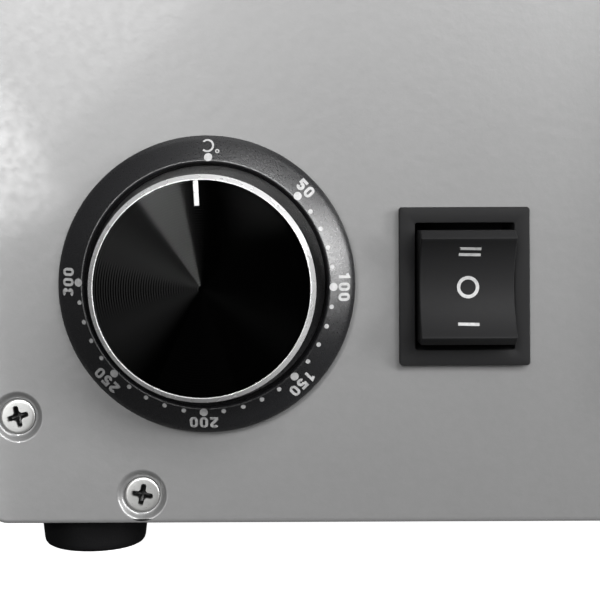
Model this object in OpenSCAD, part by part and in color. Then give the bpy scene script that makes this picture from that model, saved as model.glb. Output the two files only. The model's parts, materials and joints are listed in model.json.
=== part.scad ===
// Benchtop reflow oven: a steel sleeve cabinet with a control bay on the left and, on the right, an
// insulated stainless chamber with quartz heaters, a convection fan and a board drawer that slides out.
// Cabinet coordinates: X to the right, Y towards the rear and Z up, from the front left bottom corner.

/* [Cabinet] */
// Width of the cabinet
cab_w = 400; // [380:1:480]
// Depth of the cabinet over its front and rear panels
cab_d = 290; // [284:1:340]
// Height of the cabinet without its feet
cab_h = 186; // [176:1:240]
// Outer radius of the cabinet's corners
corner_r = 4; // [3:0.5:6]
// Thickness of the front panel
front_t = 1.5; // [1.2:0.1:2]
// Thickness of the rear panel
rear_t = 1.2; // [1:0.1:2]
// Thickness of the sleeve and of the inner sheets
sheet_t = 1; // [0.8:0.1:1.2]
// Thickness of the base pan
base_t = 1.2; // [1:0.1:2]
// Width of the folded flanges that the panels are screwed to
flange_w = 14; // [13:0.5:18]
// Width of the sleeve's return under the base pan
return_w = 36; // [32:1:44]

/* [Feet] */
// Height of a rubber foot
foot_h = 8; // [6:0.5:14]
// Diameter of a foot against the cabinet
foot_top_d = 22.6; // [18:0.1:24]
// Diameter of a foot where it stands
foot_base_d = 20.8; // [14:0.1:22]
// Distance of a foot's centre from the cabinet's sides
foot_inset = 18.7; // [16:0.1:22]

/* [Front panel screws] */
// Diameter of a countersunk head
csk_head_d = 6.9; // [6.6:0.1:7.6]
// Diameter of the dimple round a head
dimple_d = 10; // [9:0.1:10.4]
// Distance of the side screws from the cabinet's sides
side_screw_in = 6; // [6:0.1:8]
// Height of the lowest side screws, and the drop of the highest
side_screw_z = 21; // [18:0.5:40]
// Distance of the top and bottom screws from those edges
edge_screw_in = 5.5; // [5.3:0.1:8]
// Distance of the outer top and bottom screws from the cabinet's sides
edge_screw_x = 30.5; // [26:0.5:60]

/* [Dial] */
// Distance of the dial's centre from the cabinet's left side
dial_x = 43.6; // [40:0.1:48]
// Height of the dial's centre above the cabinet's bottom
control_z = 47.2; // [42:0.1:80]
// Outer diameter of the dial plate
plate_d = 58; // [54:0.5:62]
// Inner diameter of the dial plate's printed face
plate_in_d = 46.6; // [45:0.1:48]
// Height of the dial plate at its outer shoulder
plate_rim_h = 3.4; // [3:0.1:6]
// Height of the dial plate at its inner edge
plate_h = 6; // [4.5:0.1:8]
// Thickness of the dial plate's floor and walls
plate_t = 1.5; // [1.2:0.1:2]
// Diameter of the knob
knob_d = 42; // [38:0.1:43]
// Height of the knob's face above the front panel
knob_h = 19.5; // [17:0.1:24]
// Width of the knob's bright ring
ring_w = 1.1; // [0.8:0.1:1.6]
// Drop of the bright ring's chamfer
ring_drop = 1.8; // [1:0.1:2.4]
// Length of the pointer
pointer_l = 4.8; // [3:0.1:8]
// Width of the pointer
pointer_w = 0.95; // [0.6:0.05:1.6]
// Turn of the pointer to the left of upright with the knob at its off stop
pointer_turn = 3; // [0:0.5:10]

/* [Switch] */
// Distance of the switch's centre from the cabinet's left side
switch_x = 94; // [90:0.1:98]
// Height of the switch's centre above the cabinet's bottom
switch_z = 46.5; // [42:0.1:80]
// Width of the switch's bezel
bezel_w = 25.5; // [24:0.1:27]
// Height of the switch's bezel
bezel_h = 31; // [30:0.1:34]
// Thickness of the bezel
bezel_t = 2; // [1.5:0.1:3]
// Width of the bezel's window
window_w = 19.4; // [18.5:0.1:20]
// Height of the bezel's window
window_h = 24.8; // [24:0.1:26]
// Width of the rocker
rocker_w = 18.4; // [17:0.1:18.6]
// Length of the rocker
rocker_l = 22; // [21:0.1:22.4]
// Height of the rocker's ends above the front panel
rocker_h = 9; // [7:0.1:11]
// Depth of the rocker's dished face
rocker_dish = 4; // [1:0.1:4.5]

/* [Chamber] */
// Inner width of the chamber
ch_w = 216; // [200:1:222]
// Inner height of the chamber
ch_h = 110; // [104:1:118]
// Inner depth of the chamber
ch_d = 208; // [202:1:214]
// Width of the control bay, up to the partition
bay_w = 128; // [124:1:132]
// Height of the chamber's inner floor above the cabinet's bottom
ch_z = 38; // [30:1:44]
// Thickness of the side insulation
side_wool = 20; // [12:1:21]
// Thickness of the insulation above, below and behind the chamber
wool = 14; // [10:1:15]
// Width of the chamber's mouth flange
mouth_flange = 8; // [6:0.5:10]

/* [Heaters] */
// Outer diameter of a quartz tube
tube_d = 10; // [8:0.5:12]
// Wall of a quartz tube
tube_wall = 1.2; // [1:0.1:1.6]
// Number of tubes above the boards
upper_tubes = 4; // [3:1:4]
// Number of tubes below the boards
lower_tubes = 3; // [2:1:4]
// Drop of the upper tubes' centres below the chamber's ceiling
upper_drop = 20; // [17:0.5:24]
// Height of the lower tubes' centres above the chamber's floor
lower_rise = 15; // [10:0.5:18]

/* [Drawer] */
// Overlap of the drawer's front round the chamber's mouth
overlap = 14; // [12:0.5:16]
// Thickness of the drawer's front
drawer_t = 12; // [10:0.5:16]
// Thickness of the drawer's seal
seal_t = 3; // [2:0.5:5]
// Width of the drawer's window
glass_w = 150; // [100:1:170]
// Height of the drawer's window
glass_h = 50; // [30:1:56]
// Height of the board rack's side rails above the chamber's floor
rail_rise = 42; // [34:0.5:46]
// Length of the handle bar
handle_l = 170; // [120:1:200]
// Diameter of the handle bar
handle_d = 10; // [8:0.5:14]
// Clear reach behind the handle bar
handle_gap = 20; // [18:0.5:30]

/* [Fans] */
// Diameter of the convection impeller
impeller_d = 88; // [60:1:92]
// Frame size of the cooling fan
fan_size = 80; // [80:1:80]
// Depth of the cooling fan's frame
fan_t = 25; // [20:1:32]
// Height of the cooling fan's centre above the cabinet's bottom
fan_z = 112; // [100:1:130]

/* [Hidden] */
$fn = 64;

fit = 0.3;          // clearance between pieces that move past or lie beside each other
slip = 0.05;        // radial clearance of a shaft in its bearing
bend_in = corner_r - sheet_t;
inlet_flange_t = 3;  // the mains inlet and its screws reach furthest to the rear
inlet_head_h = 1.8;
front_reach = seal_t + drawer_t + handle_gap + handle_d;
rear_reach = inlet_flange_t + inlet_head_h;
total_d = front_reach + cab_d + rear_reach;

m4_r = 1.95;
m3_r = 1.45;
pan_r = 3.8;
pan_h = 2.4;

mouth_x = bay_w + sheet_t + (cab_w - bay_w - 2 * sheet_t - ch_w) / 2;
ch_y = front_t + sheet_t;
ch_rear = ch_y + ch_d;
ch_right = mouth_x + ch_w;
ch_top = ch_z + ch_h;

steel = "silver";
stainless = "gainsboro";
black = [0.09, 0.09, 0.1];
wool_grey = "whitesmoke";

// Places every piece: the cabinet's bottom stands on the feet and the whole is centred in X and Y.
module in_frame() {
    translate([-cab_w / 2, front_reach - total_d / 2, foot_h]) children();
}

// Local Z points out of the front panel, local X to the right and local Y up.
module on_front(x, z) {
    translate([x, 0, z]) rotate([90, 0, 0]) children();
}

// Local Z points out of the rear panel, local X to the left and local Y up.
module on_rear(x, z) {
    translate([x, cab_d, z]) rotate([90, 0, 180]) children();
}

// Extrudes an outline drawn in X and Z along Y, from y1 to y2.
module along_y(y1, y2) {
    translate([0, y2, 0]) rotate([90, 0, 0]) linear_extrude(y2 - y1) children();
}

// Extrudes an outline drawn in Y and Z along X, from x1 to x2.
module along_x(x1, x2) {
    translate([x1, 0, 0]) rotate([90, 0, 90]) linear_extrude(x2 - x1) children();
}

module tube_x(x1, x2, r) {
    translate([x1, 0, 0]) rotate([0, 90, 0]) cylinder(r = r, h = x2 - x1);
}

module tube_y(y1, y2, r) {
    translate([0, y2, 0]) rotate([90, 0, 0]) cylinder(r = r, h = y2 - y1);
}

module block(x1, x2, y1, y2, z1, z2) {
    translate([x1, y1, z1]) cube([x2 - x1, y2 - y1, z2 - z1]);
}

// A rectangle with round corners, from the origin.
module round_rect(w, h, r) {
    translate([r, 0]) square([w - 2 * r, h]);
    translate([0, r]) square([w, h - 2 * r]);
    for (x = [r, w - r], y = [r, h - r]) translate([x, y]) circle(r);
}

// The same rectangle, centred.
module round_rect_c(w, h, r) {
    translate([-w / 2, -h / 2]) round_rect(w, h, r);
}

// ---- Cabinet ----

// [x, z, turn of the recess] of each front panel screw
front_screw_places = [
    for (side = [0, 1], top = [0, 1])
        [side ? cab_w - side_screw_in : side_screw_in,
         top ? cab_h - side_screw_z : side_screw_z, 17 + 41 * side + 23 * top],
    for (top = [0, 1], n = [0, 1, 2])
        [edge_screw_x + n * (cab_w / 2 - edge_screw_x),
         top ? cab_h - edge_screw_in : edge_screw_in, 33 + 29 * n + 47 * top]
];

head_sink = 0.3;                          // the heads lie this far below the panel's face
dimple_floor = head_sink + 0.6;           // depth of the dimple's step
seat_r = csk_head_d / 2 + 0.1;
hole_r = m4_r + slip;
cone_depth = dimple_floor + seat_r - hole_r;
boss_r = 4;
collar_r = 4.6;
collar_h = 3;

// The pressed dimple's front surface, cut out of the sheet.
module dimple_cut() {
    rotate_extrude() polygon([
        [0, 0.5], [dimple_d / 2 + 0.35, 0.5], [dimple_d / 2, 0], [seat_r, -dimple_floor],
        [hole_r, -cone_depth], [hole_r, -cone_depth - 2], [0, -cone_depth - 2]
    ]);
}

// The dimple's back, which nests in the flange behind.
module dimple_boss(grow = 0) {
    rotate_extrude() polygon([
        [0, -front_t + 0.2], [boss_r + grow, -front_t + 0.2], [boss_r + grow, -front_t],
        [hole_r + 0.7 + grow, -cone_depth - 0.6 - grow], [0, -cone_depth - 0.6 - grow]
    ]);
}

module front_panel() color(steel) on_front(0, 0) difference() {
    union() {
        translate([0, 0, -front_t]) linear_extrude(front_t) difference() {
            round_rect(cab_w, cab_h, corner_r);
            translate([mouth_x, ch_z]) square([ch_w, ch_h]);
            translate([switch_x, switch_z])
                square([switch_cut_w, switch_cut_h], center = true);
            translate([dial_x, control_z]) circle(shaft_hole_r);
            for (s = [-1, 1])
                translate([dial_x + s * yoke_pitch / 2, control_z]) circle(hole_r);
        }
        for (p = front_screw_places) translate([p[0], p[1], 0]) dimple_boss();
    }
    for (p = front_screw_places) translate([p[0], p[1], 0]) dimple_cut();
}

// A flange's collar with its tapped hole, behind a panel screw.
module flange_collar() {
    translate([0, 0, -front_t - sheet_t - collar_h])
        cylinder(r = collar_r, h = collar_h + sheet_t);
}

module flange_hole() {
    dimple_boss(0.15);
    translate([0, 0, -front_t - sheet_t - collar_h - 1]) cylinder(r = hole_r, h = collar_h + 4);
}

// Front view of the sleeve's flange: the section's outline less all but flange_w of its inside.
module sleeve_flange() {
    difference() {
        translate([sheet_t / 2, sheet_t / 2])
            round_rect(cab_w - sheet_t, cab_h - sheet_t, corner_r - sheet_t / 2);
        translate([flange_w, -1])
            square([cab_w - 2 * flange_w, cab_h - flange_w + 1]);
    }
}

vent_rows = 3;
vent_l = 34;
vent_w = 3;
vent_pitch = 9;
vent_n = 9;

// Rows of slots near the top of one side wall.
module side_vents() {
    row_pitch = vent_l + 12;
    for (row = [0 : vent_rows - 1], n = [0 : vent_n - 1])
        translate([-1, cab_d / 2 + (row - (vent_rows - 1) / 2) * row_pitch - vent_l / 2,
                   cab_h - 30 - vent_pitch * n])
            cube([cab_w + 2, vent_l, vent_w]);
}

module outer_sleeve() color(steel) difference() {
    union() {
        along_y(front_t, cab_d - rear_t) difference() {
            round_rect(cab_w, cab_h, corner_r);
            translate([sheet_t, sheet_t])
                round_rect(cab_w - 2 * sheet_t, cab_h - 2 * sheet_t, bend_in);
            translate([return_w, -1]) square([cab_w - 2 * return_w, sheet_t + 2]);
        }
        along_y(front_t, front_t + sheet_t) sleeve_flange();
        along_y(cab_d - rear_t - sheet_t, cab_d - rear_t) sleeve_flange();
        on_front(0, 0) for (p = front_screw_places)
            if (p[1] > edge_screw_in) translate([p[0], p[1], 0]) flange_collar();
    }
    on_front(0, 0) for (p = front_screw_places)
        if (p[1] > edge_screw_in) translate([p[0], p[1], 0]) flange_hole();
    for (p = rear_screw_places) if (p[1] > edge_screw_in) on_rear(p[0], p[1]) rear_hole();
    side_vents();
    for (p = foot_places) translate([p[0], p[1], -1]) cylinder(r = hole_r, h = sheet_t + 2);
    for (p = sleeve_screw_places)
        translate([p[0], p[1], -1]) cylinder(r = hole_r, h = sheet_t + 2);
}

pan_flange_h = 15;
pan_in = corner_r + 0.5;

module base_pan() color(steel) difference() {
    union() {
        block(pan_in, cab_w - pan_in, front_t + sheet_t + fit, cab_d - rear_t - sheet_t - fit,
              sheet_t, sheet_t + base_t);
        for (x = [pan_in, cab_w - pan_in - base_t])
            block(x, x + base_t, front_t + collar_h + 2 * sheet_t + fit,
                  cab_d - rear_t - sheet_t - 2, sheet_t, sheet_t + pan_flange_h);
        for (y = [front_t, cab_d - rear_t - sheet_t]) {
            block(flange_w + fit, cab_w - flange_w - fit, y, y + sheet_t,
                  sheet_t, sheet_t + pan_flange_h);
            block(flange_w + fit, cab_w - flange_w - fit, y - (y > front_t ? 2 : 0),
                  y + sheet_t + (y > front_t ? 0 : 2), sheet_t, sheet_t + base_t);
        }
        on_front(0, 0) for (p = front_screw_places)
            if (p[1] == edge_screw_in) translate([p[0], p[1], 0]) intersection() {
                flange_collar();
                translate([-collar_r, sheet_t - p[1], -20]) cube([2 * collar_r, 20, 40]);
            }
    }
    on_front(0, 0) for (p = front_screw_places)
        if (p[1] == edge_screw_in) translate([p[0], p[1], 0]) flange_hole();
    for (p = rear_screw_places) if (p[1] == edge_screw_in) on_rear(p[0], p[1]) rear_hole();
    for (p = foot_places) translate([p[0], p[1], 0]) cylinder(r = hole_r, h = 5);
    for (p = sleeve_screw_places) translate([p[0], p[1], 0]) cylinder(r = hole_r, h = 5);
    for (x = [fan_cx - 36, fan_cx + 36], n = [0 : 6])
        translate([x - 15, 50 + 28 * n, 0]) cube([30, 4, 5]);
}

// A thin steel wall between the control bay and the chamber.
module partition() color(steel) difference() {
    union() {
        block(bay_w, bay_w + sheet_t, front_t + sheet_t + fit, cab_d - rear_t - sheet_t - fit,
              sheet_t + base_t, cab_h - sheet_t - 2);
        block(bay_w - 10, bay_w + sheet_t, front_t + sheet_t + fit,
              cab_d - rear_t - sheet_t - fit, sheet_t + base_t, 2 * sheet_t + base_t);
    }
    for (p = loom_holes)
        translate([0, p[0], p[1]]) tube_x(bay_w - 1, bay_w + sheet_t + 1, p[2]);
}

foot_places = [
    for (x = [foot_inset, cab_w - foot_inset], y = [foot_inset, cab_d - foot_inset]) [x, y]
];

module rubber_feet() color(black) for (p = foot_places) translate([p[0], p[1], -foot_h])
    difference() {
        rotate_extrude() polygon([
            [0, 0], [foot_base_d / 2 - 1, 0], [foot_base_d / 2, 1], [foot_top_d / 2, foot_h],
            [0, foot_h]
        ]);
        translate([0, 0, -1]) cylinder(r = pan_r + 0.4, h = foot_recess + 1);
        cylinder(r = hole_r, h = foot_h + 1);
    }

// A pan-head screw: its head's underside is at the origin and its shank points down.
module pan_screw(r, head_r, head_h, l) {
    difference() {
        union() {
            translate([0, 0, -l]) cylinder(r = r, h = l);
            rotate_extrude() polygon([
                [0, 0], [head_r, 0], [head_r, head_h * 0.5], [head_r * 0.75, head_h * 0.9],
                [head_r * 0.4, head_h], [0, head_h]
            ]);
        }
        cross_recess(head_r * 1.1, head_h, head_h * 0.7);
    }
}

// A cross recess cut down from height top.
module cross_recess(span, top, depth) {
    arm = span * 0.22;
    for (a = [0, 90]) rotate(a)
        translate([-span / 2, -arm / 2, top - depth]) cube([span, arm, depth + 1]);
}

bottom_screw_l = 9;
foot_recess = foot_h - 3;
sleeve_screw_places = [for (x = [foot_inset, cab_w - foot_inset]) [x, cab_d / 2]];

// One screw up through each foot and one through each of the sleeve's returns.
module bottom_screws() color(stainless) {
    for (p = foot_places) translate([p[0], p[1], foot_recess - foot_h]) rotate([180, 0, 0])
        pan_screw(m4_r - slip, pan_r, pan_h, bottom_screw_l);
    for (p = sleeve_screw_places) translate([p[0], p[1], 0]) rotate([180, 0, 0])
        pan_screw(m4_r - slip, pan_r, pan_h, bottom_screw_l);
}

module front_screws() color(stainless) on_front(0, 0) for (p = front_screw_places)
    translate([p[0], p[1], -head_sink]) rotate(p[2]) difference() {
        rotate_extrude() polygon([
            [0, 0], [csk_head_d / 2 - 0.2, 0], [csk_head_d / 2, -0.2],
            [csk_head_d / 2, -0.55], [m4_r - slip, -0.55 - csk_head_d / 2 + m4_r - slip],
            [m4_r - slip, -8], [0, -8]
        ]);
        cross_recess(4.4, 0, 1.5);
    }

// ---- Rear panel ----

rear_screw_places = [
    for (x = [side_screw_in + 1, cab_w - side_screw_in - 1], z = [side_screw_z, cab_h - side_screw_z])
        [x, z],
    for (z = [edge_screw_in, cab_h - edge_screw_in], n = [0, 1, 2])
        [edge_screw_x + n * (cab_w / 2 - edge_screw_x), z]
];

rear_head_r = 3.2;
rear_head_h = 2;

module rear_hole() translate([0, 0, -rear_t - sheet_t - 1])
    cylinder(r = m3_r + slip, h = rear_t + sheet_t + 2);

module rear_screws() color(stainless) for (n = [0 : len(rear_screw_places) - 1])
    on_rear(rear_screw_places[n][0], rear_screw_places[n][1]) rotate(31 * n)
        pan_screw(m3_r, rear_head_r, rear_head_h, 7);

inlet_x = bay_w / 2;
inlet_z = 34;
inlet_pitch = 40;
inlet_cut_w = 27.6;
inlet_cut_h = 20.4;
fan_hole_r = fan_size / 2 - 2;
fan_pitch = fan_size - 8.5;
rear_slot_l = 46;

module rear_panel() color(steel) difference() {
    on_rear(0, 0) mirror([1, 0, 0]) translate([0, 0, -rear_t]) linear_extrude(rear_t)
        difference() {
            round_rect(cab_w, cab_h, corner_r);
            translate([inlet_x, inlet_z])
                square([inlet_cut_w + 2 * slip, inlet_cut_h + 2 * slip], center = true);
            for (s = [-1, 1])
                translate([inlet_x + s * inlet_pitch / 2, inlet_z]) circle(m3_r + slip);
            translate([bay_w / 2, fan_z]) circle(fan_hole_r);
            for (s = [-1, 1], t = [-1, 1])
                translate([bay_w / 2 + s * fan_pitch / 2, fan_z + t * fan_pitch / 2])
                    circle(m3_r + slip);
            for (x = [0, 1], n = [0 : 7])
                translate([(mouth_x + ch_right) / 2 - rear_slot_l - 8 + x * (rear_slot_l + 16),
                           ch_z + 20 + 10 * n]) square([rear_slot_l, 3.2]);
        }
    for (p = rear_screw_places) on_rear(p[0], p[1]) rear_hole();
}

// ---- Chamber ----

mouth_screw_in = 4;

module chamber_box() color(stainless) difference() {
    union() {
        along_y(ch_y - sheet_t, ch_y) difference() {
            translate([mouth_x - mouth_flange, ch_z - mouth_flange])
                square([ch_w + 2 * mouth_flange, ch_h + 2 * mouth_flange]);
            translate([mouth_x, ch_z]) square([ch_w, ch_h]);
        }
        block(mouth_x - sheet_t, ch_right + sheet_t, ch_y - sheet_t, ch_rear + sheet_t,
              ch_z - sheet_t, ch_top + sheet_t);
    }
    block(mouth_x, ch_right, ch_y - 2, ch_rear, ch_z, ch_top);
    for (y = upper_ys) cap_hole(y, upper_z);
    for (y = lower_ys) cap_hole(y, lower_z);
    translate([0, bulb_y1 - bulb_lead, bulb_z])
        tube_x(mouth_x - sheet_t - 1, mouth_x + 1, 3);
    translate([fan_cx, 0, fan_cz]) tube_y(ch_rear - 1, ch_rear + sheet_t + 1, shaft_r + 2);
    for (p = standoff_places)
        translate([p[0], 0, p[1]]) tube_y(ch_rear - 1, ch_rear + sheet_t + 1, m3_r + slip);
}

module cap_hole(y, z) {
    for (x = [mouth_x - sheet_t - 1, ch_right - 1])
        translate([0, y, z]) tube_x(x, x + sheet_t + 2, cap_r + 0.2);
}

support_w = 24;

// Two folded channels that carry the chamber on the base pan.
module chamber_supports() color(steel) for (x = [mouth_x + 14, ch_right - 14 - support_w])
    along_y(ch_y + 6, ch_rear - 6) difference() {
        translate([x, sheet_t + base_t])
            square([support_w, ch_z - 2 * sheet_t - base_t]);
        translate([x + sheet_t, sheet_t + base_t - 1])
            square([support_w - 2 * sheet_t, ch_z - 3 * sheet_t - base_t + 1]);
    }

module wool_top() color(wool_grey)
    block(mouth_x - sheet_t, ch_right + sheet_t, ch_y + 2, ch_rear + sheet_t,
          ch_top + sheet_t, ch_top + sheet_t + wool);

module wool_bottom() color(wool_grey) difference() {
    block(mouth_x - sheet_t, ch_right + sheet_t, ch_y + 2, ch_rear + sheet_t,
          ch_z - sheet_t - wool, ch_z - sheet_t);
    for (x = [mouth_x + 14, ch_right - 14 - support_w])
        block(x - fit, x + support_w + fit, 0, cab_d, 0, ch_z);
}

module wool_sides() color(wool_grey) difference() {
    for (x = [mouth_x - sheet_t - side_wool, ch_right + sheet_t])
        block(x, x + side_wool, ch_y + 8, ch_rear + sheet_t, ch_z - sheet_t, ch_top + sheet_t);
    for (y = upper_ys) translate([0, y, upper_z]) tube_x(0, cab_w, cap_r + 2.4);
    for (y = lower_ys) translate([0, y, lower_z]) tube_x(0, cab_w, cap_r + 2.4);
    translate([0, bulb_y1 - bulb_lead, bulb_z]) tube_x(0, mouth_x, 3);
}

module wool_rear() color(wool_grey) difference() {
    block(mouth_x - sheet_t, ch_right + sheet_t, ch_rear + sheet_t, ch_rear + sheet_t + wool,
          ch_z - sheet_t, ch_top + sheet_t);
    translate([fan_cx, 0, fan_cz]) tube_y(0, cab_d, 10);
    for (p = standoff_places) translate([p[0], 0, p[1]]) tube_y(0, cab_d, standoff_r + fit);
}

// ---- Heaters ----

baffle_gap = 20;
baffle_y = ch_rear - baffle_gap;
zone_d = baffle_y - ch_y - 8;
upper_z = ch_top - upper_drop;
lower_z = ch_z + lower_rise;
upper_ys = [for (n = [0 : upper_tubes - 1]) ch_y + 8 + zone_d * (n + 0.5) / upper_tubes];
lower_ys = [for (n = [0 : lower_tubes - 1]) ch_y + 8 + zone_d * (n + 0.5) / lower_tubes];
cap_r = tube_d / 2 + 2.5;
cap_in = 6;
cap_out = 12;
pin_l = side_wool - cap_out + 1;
coil_r = tube_d / 2 - tube_wall - 1;

module quartz_tube() difference() {
    tube_x(mouth_x - 2, ch_right + 2, tube_d / 2);
    tube_x(mouth_x - 3, ch_right + 3, tube_d / 2 - tube_wall);
}

// The resistance coil's outline, with the pins that leave through the caps.
module heater_coil() {
    tube_x(mouth_x - 2, ch_right + 2, coil_r);
    tube_x(mouth_x - sheet_t - cap_out - pin_l, mouth_x, 1);
    tube_x(ch_right, ch_right + sheet_t + cap_out + pin_l, 1);
}

// The two ceramic caps of one tube, each with a collar outside the chamber's wall.
module tube_caps() difference() {
    union() {
        tube_x(mouth_x - sheet_t - cap_out, mouth_x + cap_in, cap_r);
        tube_x(ch_right - cap_in, ch_right + sheet_t + cap_out, cap_r);
        tube_x(mouth_x - sheet_t - 2, mouth_x - sheet_t, cap_r + 1.8);
        tube_x(ch_right + sheet_t, ch_right + sheet_t + 2, cap_r + 1.8);
    }
    tube_x(mouth_x - 2, ch_right + 2, tube_d / 2 + slip);
    tube_x(0, cab_w, 1 + slip);
}

module at_heaters() {
    for (y = upper_ys) translate([0, y, upper_z]) children();
    for (y = lower_ys) translate([0, y, lower_z]) children();
}

module quartz_tubes() color("lavender") at_heaters() quartz_tube();
module heater_coils() color("gray") at_heaters() heater_coil();
module ceramic_caps() color("ivory") at_heaters() tube_caps();

wire_r = 1.1;
bus_link_y = lower_ys[len(lower_ys) - 1];

bus_xs = [for (s = [-1, 1])
    (mouth_x + ch_right) / 2 + s * (ch_w / 2 + sheet_t + cap_out + pin_l + wire_r)];

// Bare wires that join the heaters' pins on each side, just outside the wool.
module heater_bus_wires() color("dimgray") for (x = bus_xs) {
    translate([x, 0, upper_z]) tube_y(upper_ys[0] - 4, upper_ys[len(upper_ys) - 1] + 4, wire_r);
    translate([x, 0, lower_z]) tube_y(lower_ys[0] - 4, lower_ys[len(lower_ys) - 1] + 4, wire_r);
    translate([x, bus_link_y, lower_z]) cylinder(r = wire_r * 0.8, h = upper_z - lower_z);
}

trough_r = tube_d / 2 + 6;
reflector_t = 0.8;
reflector_z = upper_z + 3;

// A polished sheet with a round trough over each upper tube.
module reflector() color("white") along_x(mouth_x, ch_right) intersection() {
    difference() {
        union() {
            translate([ch_y + 10, reflector_z])
                square([baffle_y - ch_y - 12, reflector_t]);
            for (y = upper_ys) translate([y, upper_z]) circle(trough_r);
        }
        for (y = upper_ys) translate([y, upper_z]) circle(trough_r - reflector_t);
    }
    translate([0, reflector_z]) square([cab_d, ch_top - reflector_z]);
}

// ---- Drawer rails and temperature sensor ----

rail_z = ch_z + rail_rise;
arm_h = 10;
rail_d = 8;
rail_t = 1;
rail_y1 = ch_y + 14;
rail_y2 = baffle_y - 2;

module drawer_rails() color(stainless) for (s = [0, 1]) along_y(rail_y1, rail_y2) difference() {
    translate([s ? ch_right - rail_d : mouth_x, rail_z - arm_h / 2 - fit - rail_t])
        square([rail_d, arm_h + 2 * fit + 2 * rail_t]);
    translate([s ? ch_right - rail_d - 1 : mouth_x + rail_t, rail_z - arm_h / 2 - fit])
        square([rail_d + 1 - rail_t, arm_h + 2 * fit]);
}

bulb_r = 3;
bulb_l = 90;
bulb_lead = 14;
bulb_y1 = ch_y + 60;
rail_top = rail_z + arm_h / 2 + fit + rail_t;
bulb_z = min(rail_z + 20, (rail_top + upper_z - cap_r) / 2);
bulb_x = mouth_x + 9;
capillary_r = 0.9;

function lerp(a, b, t) = a + (b - a) * t;

// Points along straight runs whose corners are rounded over by the length r.
function unit(v) = v / norm(v);
function corner_points(a, b, c, r, n) =
    let (p = b + unit(a - b) * r, q = b + unit(c - b) * r)
    [for (i = [0 : n]) let (t = i / n) (1 - t) * (1 - t) * p + 2 * t * (1 - t) * b + t * t * q];
function route(points, r, n = 5) = concat(
    [points[0]],
    [for (i = [1 : len(points) - 2])
        each corner_points(points[i - 1], points[i], points[i + 1], r, n)],
    [points[len(points) - 1]]
);

// Frames for the sweep: each ring's side vector is carried along from the one before.
function tangent(p, i) = unit(p[min(i + 1, len(p) - 1)] - p[max(i - 1, 0)]);
function flat_to(v, t) = unit(v - (v * t) * t);
function sides(p, i = 0, prev = [0.31, 0.57, 0.76], out = []) =
    i == len(p) ? out
    : let (s = flat_to(prev, tangent(p, i))) sides(p, i + 1, s, concat(out, [s]));

// A round wire of radius r swept along points.
module sweep(p, r, n = 8) {
    s = sides(p);
    rings = [
        for (i = [0 : len(p) - 1], k = [0 : n - 1])
            let (a = 360 * k / n, t = tangent(p, i))
            p[i] + r * (cos(a) * s[i] + sin(a) * cross(t, s[i]))
    ];
    last = (len(p) - 1) * n;
    polyhedron(rings, concat(
        [[for (k = [0 : n - 1]) k]],
        [for (i = [0 : len(p) - 2], k = [0 : n - 1])
            let (j = (k + 1) % n)
            [i * n + k, i * n + n + k, i * n + n + j, i * n + j]],
        [[for (k = [n - 1 : -1 : 0]) last + k]]
    ));
}

thermo_back = front_t + 34;
capillary_exit = [dial_x + 12, thermo_back, control_z + 12];

// The copper capillary from the thermostat through the partition to the sensing bulb.
module sensor_bulb() color("peru") {
    translate([bulb_x, 0, bulb_z]) tube_y(bulb_y1, bulb_y1 + bulb_l, bulb_r);
    sweep(route([
        capillary_exit, [capillary_exit[0], bulb_y1 - bulb_lead, capillary_exit[2]],
        [capillary_exit[0], bulb_y1 - bulb_lead, bulb_z],
        [bulb_x, bulb_y1 - bulb_lead, bulb_z], [bulb_x, bulb_y1 + 1, bulb_z]
    ], 6), capillary_r);
}

module bulb_clips() color(stainless) for (y = [bulb_y1 + 18, bulb_y1 + bulb_l - 24])
    along_y(y, y + 6) difference() {
        union() {
            translate([mouth_x, bulb_z - 6]) square([1, 12]);
            translate([mouth_x, bulb_z - 1]) square([bulb_x - mouth_x, 2]);
            translate([bulb_x, bulb_z]) circle(bulb_r + 1);
        }
        translate([bulb_x, bulb_z]) circle(bulb_r + slip);
    }

// ---- Convection fan ----

fan_cx = (mouth_x + ch_right) / 2;
fan_cz = ch_z + ch_h / 2;
shaft_r = 2.5;
impeller_t = 12;
impeller_y = baffle_y + sheet_t + 3;
plate_y = ch_rear + sheet_t + wool + 2;
stator_y = plate_y + 1.5;
stator_t = 22;
stator_w = 62;
stator_h = 52;
rotor_r = 12;
standoff_r = 3.5;
standoff_places = [
    for (s = [-1, 1], t = [-1, 1]) [fan_cx + s * 26, fan_cz + t * 21]
];

// A perforated sheet in front of the convection fan.
module baffle() color(stainless) difference() {
    union() {
        block(mouth_x + fit, ch_right - fit, baffle_y, baffle_y + sheet_t, ch_z, ch_top);
        for (z = [ch_z, ch_top - sheet_t])
            block(mouth_x + fit, ch_right - fit, baffle_y, baffle_y + 8, z, z + sheet_t);
    }
    for (ring = [0 : 4], n = [0 : max(0, 6 * ring - 1)])
        translate([fan_cx, 0, fan_cz]) rotate([0, 360 * n / max(1, 6 * ring), 0])
            translate([8.5 * ring, 0, 0]) tube_y(baffle_y - 1, baffle_y + sheet_t + 1, 2.6);
    for (s = [-1, 1], n = [0 : 6])
        translate([fan_cx + s * (ch_w / 2 - 24) - 12, baffle_y - 1, ch_z + 16 + 12 * n])
            cube([24, sheet_t + 2, 4]);
}

blade_n = 12;

module impeller() color(stainless) translate([fan_cx, 0, fan_cz]) difference() {
    union() {
        tube_y(impeller_y + impeller_t - 1, impeller_y + impeller_t, impeller_d / 2);
        tube_y(impeller_y, impeller_y + impeller_t, 7);
        for (n = [0 : blade_n - 1]) rotate([0, 360 * n / blade_n, 0])
            translate([13, 0, 0]) rotate([0, 18, 0])
                translate([0, impeller_y + 1, 0])
                    cube([impeller_d / 2 - 17, impeller_t - 1.5, 1]);
    }
    tube_y(impeller_y - 1, impeller_y + impeller_t + 1, shaft_r + slip);
}

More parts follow.
